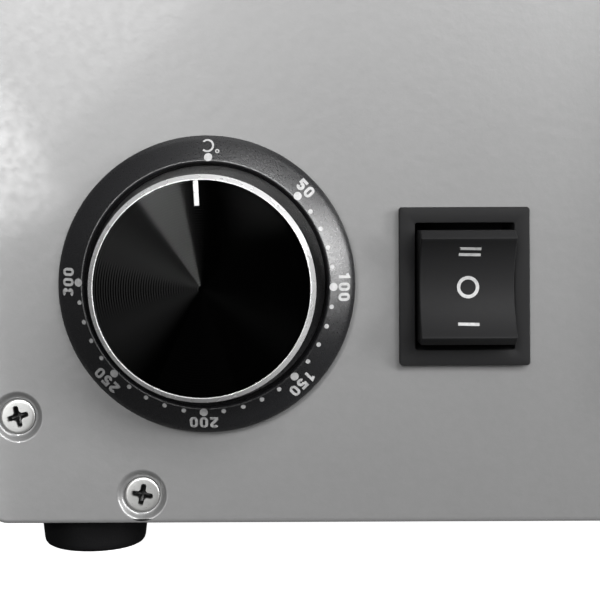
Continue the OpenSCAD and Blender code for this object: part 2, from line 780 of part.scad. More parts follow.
bearing_r = 5;
bar_high = fan_cz - stator_h / 2 - 20;
bar_low = bar_high - 10;
bridge_t = 1.5;

// A shaded-pole motor's laminated core on its mounting plate.
module fan_motor_stator() color("slategray") difference() {
    union() {
        block(fan_cx - stator_w / 2, fan_cx + stator_w / 2, plate_y, stator_y,
              fan_cz - stator_h / 2, fan_cz + stator_h / 2);
        block(fan_cx - stator_w / 2 + 2, fan_cx + stator_w / 2 - 2, stator_y,
              stator_y + stator_t, fan_cz - 17, fan_cz + stator_h / 2 - 1);
        for (s = [-1, 1])
            block(fan_cx + s * 24 - 5, fan_cx + s * 24 + 5, stator_y, stator_y + stator_t,
                  bar_low, fan_cz - 16);
        block(fan_cx - 29, fan_cx + 29, stator_y, stator_y + stator_t, bar_low, bar_high);
    }
    translate([fan_cx, 0, fan_cz]) {
        tube_y(stator_y + 4, cab_d, rotor_r + 0.4);
        tube_y(0, cab_d, bearing_r);
    }
    for (p = standoff_places) translate([p[0], 0, p[1]]) tube_y(0, cab_d, m3_r + slip);
}

// The winding round the core's lower bar.
module motor_coil() color("chocolate") difference() {
    block(fan_cx - 18, fan_cx + 18, stator_y - 3, stator_y + stator_t + 7,
          bar_low - 7, bar_high + 7);
    block(fan_cx - 30, fan_cx + 30, stator_y - 0.2, stator_y + stator_t + 0.2,
          bar_low - 0.2, bar_high + 0.2);
}

// Bearing bushes at both ends of the motor: the rear one in a plate across the core.
module motor_bearings() color("goldenrod") difference() {
    translate([fan_cx, 0, fan_cz]) {
        tube_y(plate_y - 1.5, stator_y + 4, bearing_r - slip);
        tube_y(plate_y - 1.5, plate_y, bearing_r + 2);
        tube_y(stator_y + stator_t, stator_y + stator_t + 5, bearing_r);
        block(-stator_w / 2 + 2, stator_w / 2 - 2, stator_y + stator_t,
              stator_y + stator_t + bridge_t, -stator_h / 2 + 1, stator_h / 2 - 1);
    }
    translate([fan_cx, 0, fan_cz]) tube_y(0, cab_d, shaft_r + slip);
    for (p = standoff_places) translate([p[0], 0, p[1]]) tube_y(stator_y + 1, cab_d, m3_r + slip);
}

// Hex spacers that carry the motor on the chamber's rear wall, with a screw at each end.
module motor_standoffs() color(stainless) for (p = standoff_places)
    translate([p[0], 0, p[1]]) {
        tube_y(ch_rear + sheet_t, plate_y, standoff_r);
        tube_y(ch_rear - 1.5, ch_rear, m3_r * 2);
        tube_y(ch_rear, ch_rear + sheet_t, m3_r);
        tube_y(plate_y, stator_y + stator_t + bridge_t, m3_r);
        tube_y(stator_y + stator_t + bridge_t, stator_y + stator_t + bridge_t + 2, m3_r * 1.9);
    }

module motor_shaft() color(stainless) translate([fan_cx, 0, fan_cz]) {
    tube_y(impeller_y - 1.5, stator_y + stator_t + 14, shaft_r);
    tube_y(stator_y + 4.4, stator_y + stator_t - 0.4, rotor_r);
    tube_y(stator_y + stator_t + 7, stator_y + stator_t + 10, 5);
}

// ---- Cooling fan in the control bay ----

fan_hub_r = 17;
rear_in = cab_d - rear_t;

module cooling_fan_frame() color(black) difference() {
    translate([bay_w / 2, 0, fan_z]) {
        along_y(rear_in - fan_t, rear_in) difference() {
            round_rect_c(fan_size, fan_size, 4);
            circle(fan_hole_r);
            for (s = [-1, 1], t = [-1, 1])
                translate([s * fan_pitch / 2, t * fan_pitch / 2]) circle(2.1);
        }
        along_y(rear_in - fan_t, rear_in - fan_t + 3) {
            circle(fan_hub_r + 1);
            for (a = [45 : 90 : 315]) rotate(a)
                translate([fan_hub_r, -2]) square([fan_hole_r - fan_hub_r + 0.5, 4]);
        }
    }
    translate([bay_w / 2, 0, fan_z]) tube_y(0, cab_d, 2);
}

fan_blades = 7;

module cooling_fan_rotor() color(black) translate([bay_w / 2, 0, fan_z]) {
    tube_y(rear_in - fan_t + 3.4, rear_in - 2, fan_hub_r);
    tube_y(rear_in - fan_t + 0.5, rear_in - fan_t + 4, 2 - slip);
    for (n = [0 : fan_blades - 1]) rotate([0, 360 * n / fan_blades, 0])
        translate([0, rear_in - fan_t / 2 + 0.5, 0]) rotate([32, 0, 0]) intersection() {
            translate([0, -9.5, -0.8]) cube([fan_hole_r - 1, 19, 1.6]);
            rotate([-32, 0, 0]) tube_y(-9, 8, fan_hole_r - 1);
        }
}

guard_wire_r = 0.9;
guard_eye_t = 1.6;
eye_r = fan_pitch / sqrt(2);

// Concentric wire rings joined by four spokes with screw eyes, outside the rear panel.
module cooling_fan_guard() color(stainless) on_rear(bay_w / 2, fan_z) difference() {
    union() {
        for (r = [10 : 6 : fan_hole_r])
            translate([0, 0, 2.7 * guard_wire_r]) rotate_extrude()
                translate([r, 0]) circle(guard_wire_r, $fn = 24);
        for (a = [45, 135, 225, 315]) rotate(a) {
            translate([7, 0, guard_wire_r * 1.1]) rotate([0, 90, 0])
                cylinder(r = guard_wire_r, h = eye_r - 10.4);
            translate([eye_r, 0, 0]) cylinder(r = 4.2, h = guard_eye_t);
        }
    }
    for (a = [45, 135, 225, 315]) rotate(a)
        translate([eye_r, 0, -1]) cylinder(r = m3_r + slip, h = 6);
}

module cooling_fan_screws() color(stainless) on_rear(bay_w / 2, fan_z)
    for (s = [-1, 1], t = [-1, 1])
        translate([s * fan_pitch / 2, t * fan_pitch / 2, guard_eye_t]) rotate(20 * s + 50 * t)
            pan_screw(m3_r, 3, 2, 14);

// ---- Mains inlet and terminal block ----

inlet_recess_w = 24.4;
inlet_recess_h = 16.6;
inlet_deep = 16;
inlet_tab = 10;

// The six-sided outline of the inlet's recess, narrower at its lower corners.
module inlet_outline() {
    w = inlet_recess_w / 2;
    h = inlet_recess_h / 2;
    polygon([[-w, h], [-w, -h + 4.5], [-w + 4.5, -h], [w - 4.5, -h], [w, -h + 4.5], [w, h]]);
}

module mains_inlet() color(black) on_rear(inlet_x, inlet_z) difference() {
    union() {
        linear_extrude(inlet_flange_t) difference() {
            inlet_flange();
            for (s = [-1, 1]) translate([s * inlet_pitch / 2, 0]) circle(m3_r + slip);
        }
        translate([0, 0, -inlet_deep - 2]) linear_extrude(inlet_deep + 3)
            square([inlet_cut_w, inlet_cut_h], center = true);
    }
    translate([0, 0, -inlet_deep]) linear_extrude(inlet_deep + 10) inlet_outline();
    for (p = inlet_pin_places)
        translate([p[0] - 1, p[1] - 2, -inlet_deep - 5]) cube([2, 4, 10]);
}

// The inlet's flange: a body rectangle with two round ears.
module inlet_flange() {
    round_rect_c(inlet_cut_w + 4, inlet_cut_h + 3, 2);
    round_rect_c(inlet_pitch + 10, 10, 4.8);
}

inlet_pin_places = [[-7, -2], [0, 2], [7, -2]];

module inlet_pins() color(stainless) on_rear(inlet_x, inlet_z) for (p = inlet_pin_places)
    translate([p[0] - 1, p[1] - 2, -inlet_deep - inlet_tab])
        cube([2, 4, inlet_deep + inlet_tab - 5]);

module inlet_screws() color(stainless) on_rear(inlet_x, inlet_z) for (s = [-1, 1])
    translate([s * inlet_pitch / 2, 0, inlet_flange_t]) rotate(35 + 20 * s)
        pan_screw(m3_r, 2.6, inlet_head_h, 9);

block_x = 34;
block_y = 150;
block_l = 54;

module terminal_block() color("ivory") difference() {
    union() {
        block(block_x, block_x + 24, block_y, block_y + block_l,
              sheet_t + base_t, sheet_t + base_t + 14);
        for (n = [0 : 4])
            block(block_x + 3, block_x + 21, block_y + 3 + 10 * n, block_y + 10 + 10 * n,
                  sheet_t + base_t + 13, sheet_t + base_t + 20);
    }
    for (n = [0 : 4]) {
        translate([0, block_y + 6.5 + 10 * n, sheet_t + base_t + 10])
            tube_x(block_x - 1, block_x + 25, 2);
        for (x = [block_x + 7, block_x + 17])
            translate([x, block_y + 6.5 + 10 * n, sheet_t + base_t + 12])
                cylinder(r = 2, h = 10);
    }
}

bus_feed_y = bus_link_y - 20;
return_y = 240;
return_z = 170;

// [y, z, radius] of the partition's holes
loom_holes = [
    [bulb_y1 - bulb_lead, bulb_z, 3], [bus_feed_y, lower_z, 3], [return_y, return_z, 4]
];

block_hole_z = sheet_t + base_t + 10;
block_pitch = 10;
loom_wire_r = 1.2;
row_y = block_y + 6.5;
row_right = block_x + 22;
tab_l = 8;

// Sleeved wires: inlet to switch, switch to block, thermostat to block, block to the heaters,
// the heaters' return over the chamber, and the cooling fan's lead.
module wiring_loom() color("firebrick") {
    for (n = [0, 1]) {
        switch_wire_x = switch_x - 5 + 10 * n;
        tab_x = dial_x - 12 + 12 * n;
        sweep(route([
            [inlet_x - 7 + 14 * n, cab_d - inlet_deep - inlet_tab, inlet_z - 2],
            [inlet_x - 7 + 14 * n, cab_d - inlet_deep - inlet_tab - 24, inlet_z - 2],
            [104 + 6 * n, 200, 40], [104 + 6 * n, 80, switch_z],
            [switch_wire_x, 56, switch_z], [switch_wire_x, switch_back + tab_l, switch_z]
        ], 7), loom_wire_r);
        sweep(route([
            [switch_wire_x, switch_back + tab_l, switch_z - 8],
            [switch_wire_x, 50, switch_z - 8], [76 + 8 * n, 90, 24],
            [76 + 8 * n, row_y + 3 * block_pitch + block_pitch * n, block_hole_z],
            [row_right, row_y + 3 * block_pitch + block_pitch * n, block_hole_z]
        ], 5), loom_wire_r);
        sweep(route([
            [tab_x, thermo_back + tab_l, control_z - 14],
            [tab_x, 62, control_z - 14], [22 - 8 * n, 90, 22],
            [22 - 8 * n, row_y + block_pitch * n, block_hole_z],
            [block_x + 2, row_y + block_pitch * n, block_hole_z]
        ], 5), loom_wire_r);
    }
    sweep(route([
        [row_right, row_y, block_hole_z], [92, row_y, block_hole_z],
        [104, bus_feed_y, lower_z - 10], [108, bus_feed_y, lower_z],
        [bus_xs[0] - wire_r, bus_feed_y, lower_z]
    ], 4), loom_wire_r);
    sweep(route([
        [bus_xs[1], upper_ys[len(upper_ys) - 1] + 4.05, upper_z],
        [bus_xs[1], 192, upper_z],
        [bus_xs[1], 222, upper_z + 14], [350, return_y, return_z], [114, return_y, return_z],
        [114, 190, 60], [92, row_y + 20, block_hole_z], [row_right, row_y + 20, block_hole_z]
    ], 8), loom_wire_r);
    sweep(route([
        [bay_w / 2 - 34, rear_in - fan_t, fan_z - 36],
        [bay_w / 2 - 34, 240, fan_z - 36], [14, 216, 30], [14, row_y + 40, block_hole_z],
        [block_x + 2, row_y + 40, block_hole_z]
    ], 7), loom_wire_r);
}

// ---- Dial ----

knob_wall = 2.2;
dial_head_r = 3.4;
yoke_pitch = min(28, knob_d - 2 * (knob_wall + dial_head_r + 0.5)); // the heads turn inside the knob
shaft_hole_r = 5.5;
thermo_shaft_r = 3;
plate_floor = plate_t;

// The dial plate: a floor under the knob and a raised, slightly conical printed ring.
module dial_plate() color(black) on_front(dial_x, control_z) difference() {
    rotate_extrude() polygon([
        [0, 0], [plate_d / 2, 0], [plate_d / 2, plate_rim_h - 0.8],
        [plate_d / 2 - 0.8, plate_rim_h], [plate_in_d / 2 + 0.6, plate_h],
        [plate_in_d / 2, plate_h - 0.5], [plate_in_d / 2, plate_floor], [0, plate_floor]
    ]);
    translate([0, 0, -1]) cylinder(r = shaft_hole_r, h = 8);
    for (s = [-1, 1])
        translate([s * yoke_pitch / 2, 0, -1]) cylinder(r = hole_r, h = 8);
}

dial_head_h = 2.2;

module dial_screws() color(stainless) on_front(dial_x, control_z)
    for (s = [-1, 1]) translate([s * yoke_pitch / 2, 0, plate_floor]) rotate(25 * s)
        pan_screw(m4_r - slip, dial_head_r, dial_head_h, plate_floor + front_t + 5);

thermo_w = 42;
thermo_h = 46;

// The capillary thermostat: a steel yoke against the panel, a ceramic body and its tabs.
module thermostat() color("beige") on_front(dial_x, control_z) difference() {
    union() {
        translate([0, 0, -front_t - 1.5]) linear_extrude(1.5)
            round_rect_c(yoke_pitch + 12, 22, 3);
        translate([0, 0, -front_t - 8]) linear_extrude(6.6) square([20, 20], center = true);
        translate([0, 0, -thermo_back]) linear_extrude(thermo_back - front_t - 7)
            square([thermo_w, thermo_h], center = true);
        for (x = [-12, 0, 12])
            translate([x - 3.15, -14.4, -thermo_back - tab_l]) cube([6.3, 0.8, tab_l + 1]);
    }
    translate([0, 0, -front_t - 5]) cylinder(r = thermo_shaft_r + slip, h = 10);
    for (s = [-1, 1])
        translate([s * yoke_pitch / 2, 0, -front_t - 7]) cylinder(r = hole_r, h = 10);
}

hub_r = 6.5;
hub_low = plate_floor + 2;
skirt_low = plate_floor + 1;
flat_cut = 1.2;

// A turning shaft with a flat on one side.
module d_shaft(r, flat, z1, z2) {
    difference() {
        translate([0, 0, z1]) cylinder(r = r, h = z2 - z1);
        translate([-10, r - flat, z1 - 1]) cube([20, 20, z2 - z1 + 2]);
    }
}

module thermostat_shaft() color(stainless) on_front(dial_x, control_z) {
    d_shaft(thermo_shaft_r, flat_cut, plate_floor + 1, knob_h - 5);
    translate([0, 0, -front_t - 4.8]) cylinder(r = thermo_shaft_r, h = front_t + plate_floor + 5.8);
}

ring_low = knob_h - ring_drop - 1;
face_t = 0.8;

module knob_body() color(black) on_front(dial_x, control_z) difference() {
    rotate_extrude() polygon([
        [0, skirt_low], [knob_d / 2 - 0.4, skirt_low], [knob_d / 2, skirt_low + 0.4],
        [knob_d / 2, ring_low], [knob_d / 2 - ring_w, ring_low],
        [knob_d / 2 - ring_w, knob_h - face_t - 0.2], [0, knob_h - face_t - 0.2]
    ]);
    translate([0, 0, -1]) difference() {
        cylinder(r = knob_d / 2 - knob_wall, h = knob_h - 3);
        cylinder(r = hub_r, h = knob_h);
    }
    translate([0, 0, -1]) cylinder(r = hub_r + 1, h = hub_low + 1);
    d_shaft(thermo_shaft_r + slip, flat_cut, 0, knob_h - 4.5);
}

// A turned aluminium ring with a bright chamfer.
module knob_ring() color("white") on_front(dial_x, control_z) rotate_extrude() polygon([
    [knob_d / 2 - ring_w, ring_low], [knob_d / 2, ring_low], [knob_d / 2, knob_h - ring_drop],
    [knob_d / 2 - ring_w + 0.15, knob_h], [knob_d / 2 - ring_w, knob_h]
]);

// The black spun disc in the knob's face, notched for the pointer.
module knob_face() color("black") on_front(dial_x, control_z) difference() {
    translate([0, 0, knob_h - face_t - 0.2])
        cylinder(r = knob_d / 2 - ring_w - slip, h = face_t);
    rotate(pointer_turn) translate([-pointer_w / 2, knob_d / 2 - ring_w - pointer_l, 0])
        cube([pointer_w, 20, 40]);
}

module knob_pointer() color("white") on_front(dial_x, control_z) rotate(pointer_turn)
    intersection() {
        translate([-pointer_w / 2, knob_d / 2 - ring_w - pointer_l, knob_h - face_t - 0.2])
            cube([pointer_w, pointer_l, face_t]);
        cylinder(r = knob_d / 2 - ring_w - slip, h = 40);
    }

// ---- Switch ----

switch_cut_w = bezel_w - 3.2;
switch_cut_h = bezel_h - 2.8;
switch_deep = 22;
switch_back = front_t + switch_deep;
pivot_in = 1.5;
pivot_r = 1.5;
pin_in = 0.7;

module switch_housing() color(black) on_front(switch_x, switch_z) difference() {
    union() {
        linear_extrude(bezel_t) round_rect_c(bezel_w, bezel_h, 0.8);
        translate([0, 0, -switch_back]) linear_extrude(switch_back + 1)
            square([switch_cut_w - 2 * fit, switch_cut_h - 2 * fit], center = true);
    }
    translate([0, 0, -13]) linear_extrude(20) square([window_w, window_h], center = true);
    for (x = [-5, 5], y = [-8, 0, 8])
        translate([x - 3.25, y - 0.5, -switch_back - 1]) cube([6.5, 1, 7]);
    translate([0, 0, -pivot_in])
        tube_x(-window_w / 2 - pin_in - 0.1, window_w / 2 + pin_in + 0.1, pivot_r + slip);
}

bevel_l = 1.5;
bevel_h = 2;
dish_half = rocker_l / 2 - bevel_l;
dish_r = (pow(dish_half, 2) + pow(rocker_dish, 2)) / (2 * rocker_dish);

// The rocker seen from the side: X runs up the panel and Y out of it.
module rocker_outline() difference() {
    polygon([
        [-rocker_l / 2, 0.5], [-rocker_l / 2, rocker_h - bevel_h], [-dish_half, rocker_h],
        [dish_half, rocker_h], [rocker_l / 2, rocker_h - bevel_h], [rocker_l / 2, 0.5],
        [6, -8], [-6, -8]
    ]);
    translate([0, rocker_h - rocker_dish + dish_r]) circle(dish_r, $fn = 128);
}

module switch_rocker() color(black) on_front(switch_x, switch_z) {
    translate([-rocker_w / 2, 0, 0]) rotate([90, 0, 90]) linear_extrude(rocker_w)
        rocker_outline();
    translate([0, 0, -pivot_in])
        tube_x(-window_w / 2 - pin_in, window_w / 2 + pin_in, pivot_r);
}

module switch_terminals() color(stainless) on_front(switch_x, switch_z)
    for (x = [-5, 5], y = [-8, 0, 8])
        translate([x - 3.15, y - 0.4, -switch_back - tab_l]) cube([6.3, 0.8, tab_l + 4]);

// ---- Drawer ----

drawer_x = mouth_x - overlap;
drawer_z = ch_z - overlap;
drawer_w = ch_w + 2 * overlap;
drawer_h = ch_h + 2 * overlap;
skin_t = 1.2;
glass_t = 3;
glass_x = mouth_x + ch_w / 2;
glass_z = ch_top - 14 - glass_h / 2;
handle_z = ch_z + 16;
plug_in = 8;
plug_gap = 2;
frame_lip = 5;

// Keeps the outline of the drawer's window clear through a sheet.
module window_cut(grow = 0) {
    translate([glass_x, glass_z]) round_rect_c(glass_w + 2 * grow, glass_h + 2 * grow, 3);
}

module drawer_front() color(steel) on_front(0, 0) difference() {
    translate([0, 0, seal_t]) linear_extrude(drawer_t)
        translate([drawer_x, drawer_z]) round_rect(drawer_w, drawer_h, corner_r);
    translate([0, 0, seal_t - 1]) linear_extrude(drawer_t - skin_t + 1)
        translate([drawer_x + skin_t, drawer_z + skin_t])
            round_rect(drawer_w - 2 * skin_t, drawer_h - 2 * skin_t, corner_r - skin_t);
    translate([0, 0, 0]) linear_extrude(40) window_cut();
    for (s = [-1, 1])
        translate([glass_x + s * handle_l * 0.4, handle_z, 0]) cylinder(r = hole_r, h = 40);
}

// The stainless liner: a flange inside the drawer's front and a plug that enters the chamber.
module drawer_liner() color(stainless) on_front(0, 0) difference() {
    union() {
        translate([0, 0, seal_t]) linear_extrude(sheet_t)
            translate([drawer_x + skin_t + 0.1, drawer_z + skin_t + 0.1])
                round_rect(drawer_w - 2 * skin_t - 0.2, drawer_h - 2 * skin_t - 0.2,
                           corner_r - skin_t);
        translate([0, 0, -plug_in - front_t]) linear_extrude(plug_in + front_t + seal_t)
            translate([mouth_x + plug_gap, ch_z + plug_gap])
                square([ch_w - 2 * plug_gap, ch_h - 2 * plug_gap]);
    }
    translate([0, 0, -plug_in - front_t + sheet_t]) linear_extrude(plug_in + front_t + 20)
        translate([mouth_x + plug_gap + sheet_t, ch_z + plug_gap + sheet_t])
            square([ch_w - 2 * plug_gap - 2 * sheet_t, ch_h - 2 * plug_gap - 2 * sheet_t]);
    translate([0, 0, -20]) linear_extrude(40) window_cut(-3);
}

// Two panes: one behind the drawer's skin and one on the liner.
module drawer_glass() color([0.2, 0.25, 0.25, 0.5]) on_front(0, 0) {
    translate([0, 0, seal_t + drawer_t - skin_t - glass_t]) linear_extrude(glass_t)
        window_cut(frame_lip);
    translate([0, 0, -plug_in - front_t + sheet_t]) linear_extrude(glass_t)
        window_cut(frame_lip);
}

module window_frame() color(black) on_front(0, 0) {
    translate([0, 0, seal_t + drawer_t]) linear_extrude(1.4) difference() {
        window_cut(frame_lip);
        window_cut(-1.5);
    }
    translate([0, 0, seal_t + drawer_t - skin_t]) linear_extrude(skin_t) difference() {
        window_cut(-0.1);
        window_cut(-1.5);
    }
}

module drawer_seal() color(black) on_front(0, 0)
    translate([0, 0, 0.15]) linear_extrude(seal_t - 0.15) difference() {
        translate([mouth_x - 7, ch_z - 7]) round_rect(ch_w + 14, ch_h + 14, 5);
        translate([mouth_x - 1, ch_z - 1]) square([ch_w + 2, ch_h + 2]);
    }

bar_y = -(seal_t + drawer_t + handle_gap + handle_d / 2);
post_xs = [for (s = [-1, 1]) glass_x + s * handle_l * 0.4];
post_r = 4;

// Insulation between the drawer's skin and its liner, round the window and the handle's screws.
module drawer_wool() color(wool_grey) on_front(0, 0) difference() {
    translate([0, 0, seal_t + sheet_t]) linear_extrude(drawer_t - sheet_t - skin_t)
        translate([drawer_x + skin_t + fit, drawer_z + skin_t + fit])
            round_rect(drawer_w - 2 * skin_t - 2 * fit, drawer_h - 2 * skin_t - 2 * fit,
                       corner_r - skin_t);
    linear_extrude(40) window_cut(frame_lip + fit);
    for (x = post_xs) translate([x, handle_z, 0]) cylinder(r = pan_r + fit, h = 40);
}

// A round bar on two posts that are tapped for the screws.
module drawer_handle() color(stainless) difference() {
    union() {
        translate([0, bar_y, handle_z])
            tube_x(glass_x - handle_l / 2, glass_x + handle_l / 2, handle_d / 2);
        for (x = post_xs) translate([x, 0, handle_z]) tube_y(bar_y, -seal_t - drawer_t, post_r);
    }
    for (x = post_xs) translate([x, 0, handle_z])
        tube_y(-seal_t - drawer_t - 13, 0, m4_r);
}

module handle_screws() color(stainless) for (x = post_xs)
    translate([x, -seal_t - drawer_t + skin_t, handle_z]) rotate([-90, 0, 0])
        pan_screw(m4_r - slip, pan_r, pan_h, skin_t + 12);

arm_x = mouth_x + plug_gap + 0.2;
arm_w = 10;
ledge_w = 5;
ledge_t = 1.5;
arm_z = rail_z - arm_h / 2;
arm_y1 = plug_in + front_t;
rack_wire_r = 2;
end_wire_r = 1.7;
cross_wire_r = 1.2;
rack_end = 6;
cross_wires = 12;
rack_x1 = arm_x + arm_w + fit;
rack_x2 = mouth_x + ch_right - rack_x1;
rack_y1 = arm_y1 + 3;
rack_y2 = rail_y2 - 4;
rack_z = arm_z + ledge_t + rack_wire_r + slip;

// Two arms behind the drawer's liner, with a ledge along each for the rack.
module rack_arms() color(stainless) for (s = [0, 1]) along_y(arm_y1, rail_y2 - 0.5) {
    translate([s ? mouth_x + ch_right - arm_x - arm_w : arm_x, arm_z]) square([arm_w, arm_h]);
    translate([s ? rack_x2 - ledge_w : arm_x + arm_w, arm_z])
        square([ledge_w + (s ? fit : 0), ledge_t]);
}

// Two thick side wires, two end wires and thinner wires over them, loose on the arms' ledges.
module board_rack() color(stainless) {
    for (x = [rack_x1 + rack_wire_r, rack_x2 - rack_wire_r])
        translate([x, 0, rack_z]) tube_y(rack_y1, rack_y2, rack_wire_r);
    for (y = [rack_y1 + rack_end, rack_y2 - rack_end])
        translate([0, y, rack_z])
            tube_x(rack_x1 + rack_wire_r, rack_x2 - rack_wire_r, end_wire_r);
    for (n = [1 : cross_wires])
        translate([lerp(rack_x1, rack_x2, n / (cross_wires + 1)), 0, rack_z + end_wire_r + 0.4])
            tube_y(rack_y1 + rack_end / 2, rack_y2 - rack_end / 2, cross_wire_r);
}

// ---- Nodes ----

in_frame() base_pan();
in_frame() outer_sleeve();
in_frame() front_panel();
in_frame() rear_panel();
in_frame() partition();
in_frame() rubber_feet();
in_frame() bottom_screws();
in_frame() front_screws();
in_frame() rear_screws();
in_frame() chamber_box();
in_frame() chamber_supports();
in_frame() wool_top();
in_frame() wool_bottom();
in_frame() wool_sides();
in_frame() wool_rear();
in_frame() reflector();
in_frame() quartz_tubes();
in_frame() heater_coils();
in_frame() ceramic_caps();
in_frame() heater_bus_wires();
in_frame() drawer_rails();
in_frame() sensor_bulb();
in_frame() bulb_clips();
in_frame() baffle();
in_frame() impeller();
in_frame() fan_motor_stator();
in_frame() motor_coil();
in_frame() motor_bearings();
in_frame() motor_standoffs();
in_frame() motor_shaft();
in_frame() cooling_fan_frame();
in_frame() cooling_fan_rotor();
in_frame() cooling_fan_guard();
in_frame() cooling_fan_screws();
in_frame() mains_inlet();
in_frame() inlet_pins();
in_frame() inlet_screws();
in_frame() terminal_block();
in_frame() wiring_loom();
in_frame() dial_plate();
in_frame() dial_screws();
in_frame() thermostat();
in_frame() thermostat_shaft();
in_frame() knob_body();
in_frame() knob_ring();
in_frame() knob_face();
in_frame() knob_pointer();
in_frame() switch_housing();
in_frame() switch_rocker();
in_frame() switch_terminals();
in_frame() drawer_front();
in_frame() drawer_liner();
in_frame() drawer_glass();
in_frame() window_frame();
in_frame() drawer_wool();
in_frame() drawer_seal();
in_frame() drawer_handle();
in_frame() handle_screws();
in_frame() rack_arms();
in_frame() board_rack();
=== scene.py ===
"""Finishes of the benchtop reflow oven, in the order in which the oven is put together."""
import json
from math import cos, hypot, pi, radians, sin, sqrt

import bmesh
import bpy
from mathutils import Matrix, Vector, noise


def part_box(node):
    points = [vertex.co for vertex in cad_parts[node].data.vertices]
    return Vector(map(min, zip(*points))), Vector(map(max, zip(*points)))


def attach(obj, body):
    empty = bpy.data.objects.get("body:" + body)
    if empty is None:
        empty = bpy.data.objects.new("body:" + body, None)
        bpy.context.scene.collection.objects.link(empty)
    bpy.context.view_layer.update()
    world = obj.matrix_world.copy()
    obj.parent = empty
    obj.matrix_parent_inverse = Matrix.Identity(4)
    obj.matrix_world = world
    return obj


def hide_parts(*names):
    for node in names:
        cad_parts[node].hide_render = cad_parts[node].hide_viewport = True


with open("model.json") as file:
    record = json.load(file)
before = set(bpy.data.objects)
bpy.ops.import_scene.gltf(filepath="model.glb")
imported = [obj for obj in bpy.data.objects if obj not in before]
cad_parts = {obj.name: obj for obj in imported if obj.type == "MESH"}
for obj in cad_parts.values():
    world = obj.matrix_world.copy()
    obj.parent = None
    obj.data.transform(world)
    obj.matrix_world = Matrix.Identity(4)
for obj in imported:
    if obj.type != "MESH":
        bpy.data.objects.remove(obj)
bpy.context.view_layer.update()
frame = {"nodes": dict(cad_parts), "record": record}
record = frame["record"]

# ---- Room: a pale floor, soft studio light and the camera ----
# The camera looks square at the lower left corner of the front panel from a hand's length away, with
# the lens shifted down and to the right of the place that it stands in front of.
panel_lo, panel_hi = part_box("front_panel")
panel_y = panel_lo.y
sight = Vector((panel_lo.x + 0.0589, panel_y, panel_lo.z + 0.0612))
camera_reach = 0.26

camera_data = bpy.data.cameras.new("camera")
camera_data.sensor_width = 36
camera_data.lens = 79.2
camera_data.shift_x = 0.025
camera_data.shift_y = -0.147
camera_data.clip_start = 0.01
camera = bpy.data.objects.new("camera", camera_data)
camera.location = sight - Vector((0, camera_reach, 0))
camera.rotation_euler = (radians(90), radians(0.24), 0)
bpy.context.scene.collection.objects.link(camera)
bpy.context.scene.camera = camera

dial_lo, dial_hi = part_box("dial_plate")
dial_centre = (Vector(dial_lo) + Vector(dial_hi)) / 2


def soft_light(name, off_axis, around, distance, size, power, tilt=None):
    """A softbox that faces the dial: degrees off the panel's normal, clockwise from the top, metres."""
    a, b = radians(off_axis), radians(around)
    way = Vector((sin(a) * sin(b), -cos(a), sin(a) * cos(b)))
    data = bpy.data.lights.new(name, "AREA")
    data.shape = "RECTANGLE"
    data.size, data.size_y = size
    data.energy = power
    lamp = bpy.data.objects.new(name, data)
    lamp.location = dial_centre + way * distance
    lamp.visible_camera = False
    lean = radians(around if tilt is None else tilt)
    side = Vector((sin(lean), 0, cos(lean))).cross(way).normalized()
    lamp.rotation_euler = Matrix((side, way.cross(side), way)).transposed().to_euler()
    bpy.context.scene.collection.objects.link(lamp)


soft_light("window_light", 20.5, -56, 1.3, (0.54, 0.42), 1.9, tilt=-45)
soft_light("bright_pane", 15, -78, 1.3, (0.12, 0.16), 0.38, tilt=-30)
soft_light("strip_light", 21, -36, 1.4, (0.22, 0.09), 5.5, tilt=-30)
soft_light("left_light", 24, -106, 1.3, (0.42, 0.52), 1.8, tilt=0)
soft_light("side_light", 57, 78, 1.2, (0.6, 0.34), 11)
soft_light("top_light", 38, 34, 0.9, (0.6, 0.26), 8)
soft_light("ceiling_light", 100, 0, 1.5, (1.4, 1.2), 5)
soft_light("back_light", 145, 35, 1.8, (1.2, 1.0), 40)

world = bpy.data.worlds.new("studio")
world.use_nodes = True
world.node_tree.nodes["Background"].inputs["Color"].default_value = (0.95, 0.95, 0.95, 1)
world.node_tree.nodes["Background"].inputs["Strength"].default_value = 0.06
bpy.context.scene.world = world
bpy.context.scene.view_settings.view_transform = "Standard"


class Wire:
    """A node's output. The operators + - * / and ** on it add Math nodes."""

    def __init__(self, finish, socket):
        self.finish = finish
        self.socket = socket

    def math(self, operation, a, b=0.0):
        return self.finish.node("ShaderNodeMath", {"operation": operation}, {0: a, 1: b})

    def __add__(self, other):
        return self.math("ADD", self, other)

    def __sub__(self, other):
        return self.math("SUBTRACT", self, other)

    def __rsub__(self, other):
        return self.math("SUBTRACT", other, self)

    def __mul__(self, other):
        return self.math("MULTIPLY", self, other)

    def __truediv__(self, other):
        return self.math("DIVIDE", self, other)

    def __pow__(self, other):
        return self.math("POWER", self, other)

    __radd__ = __add__
    __rmul__ = __mul__


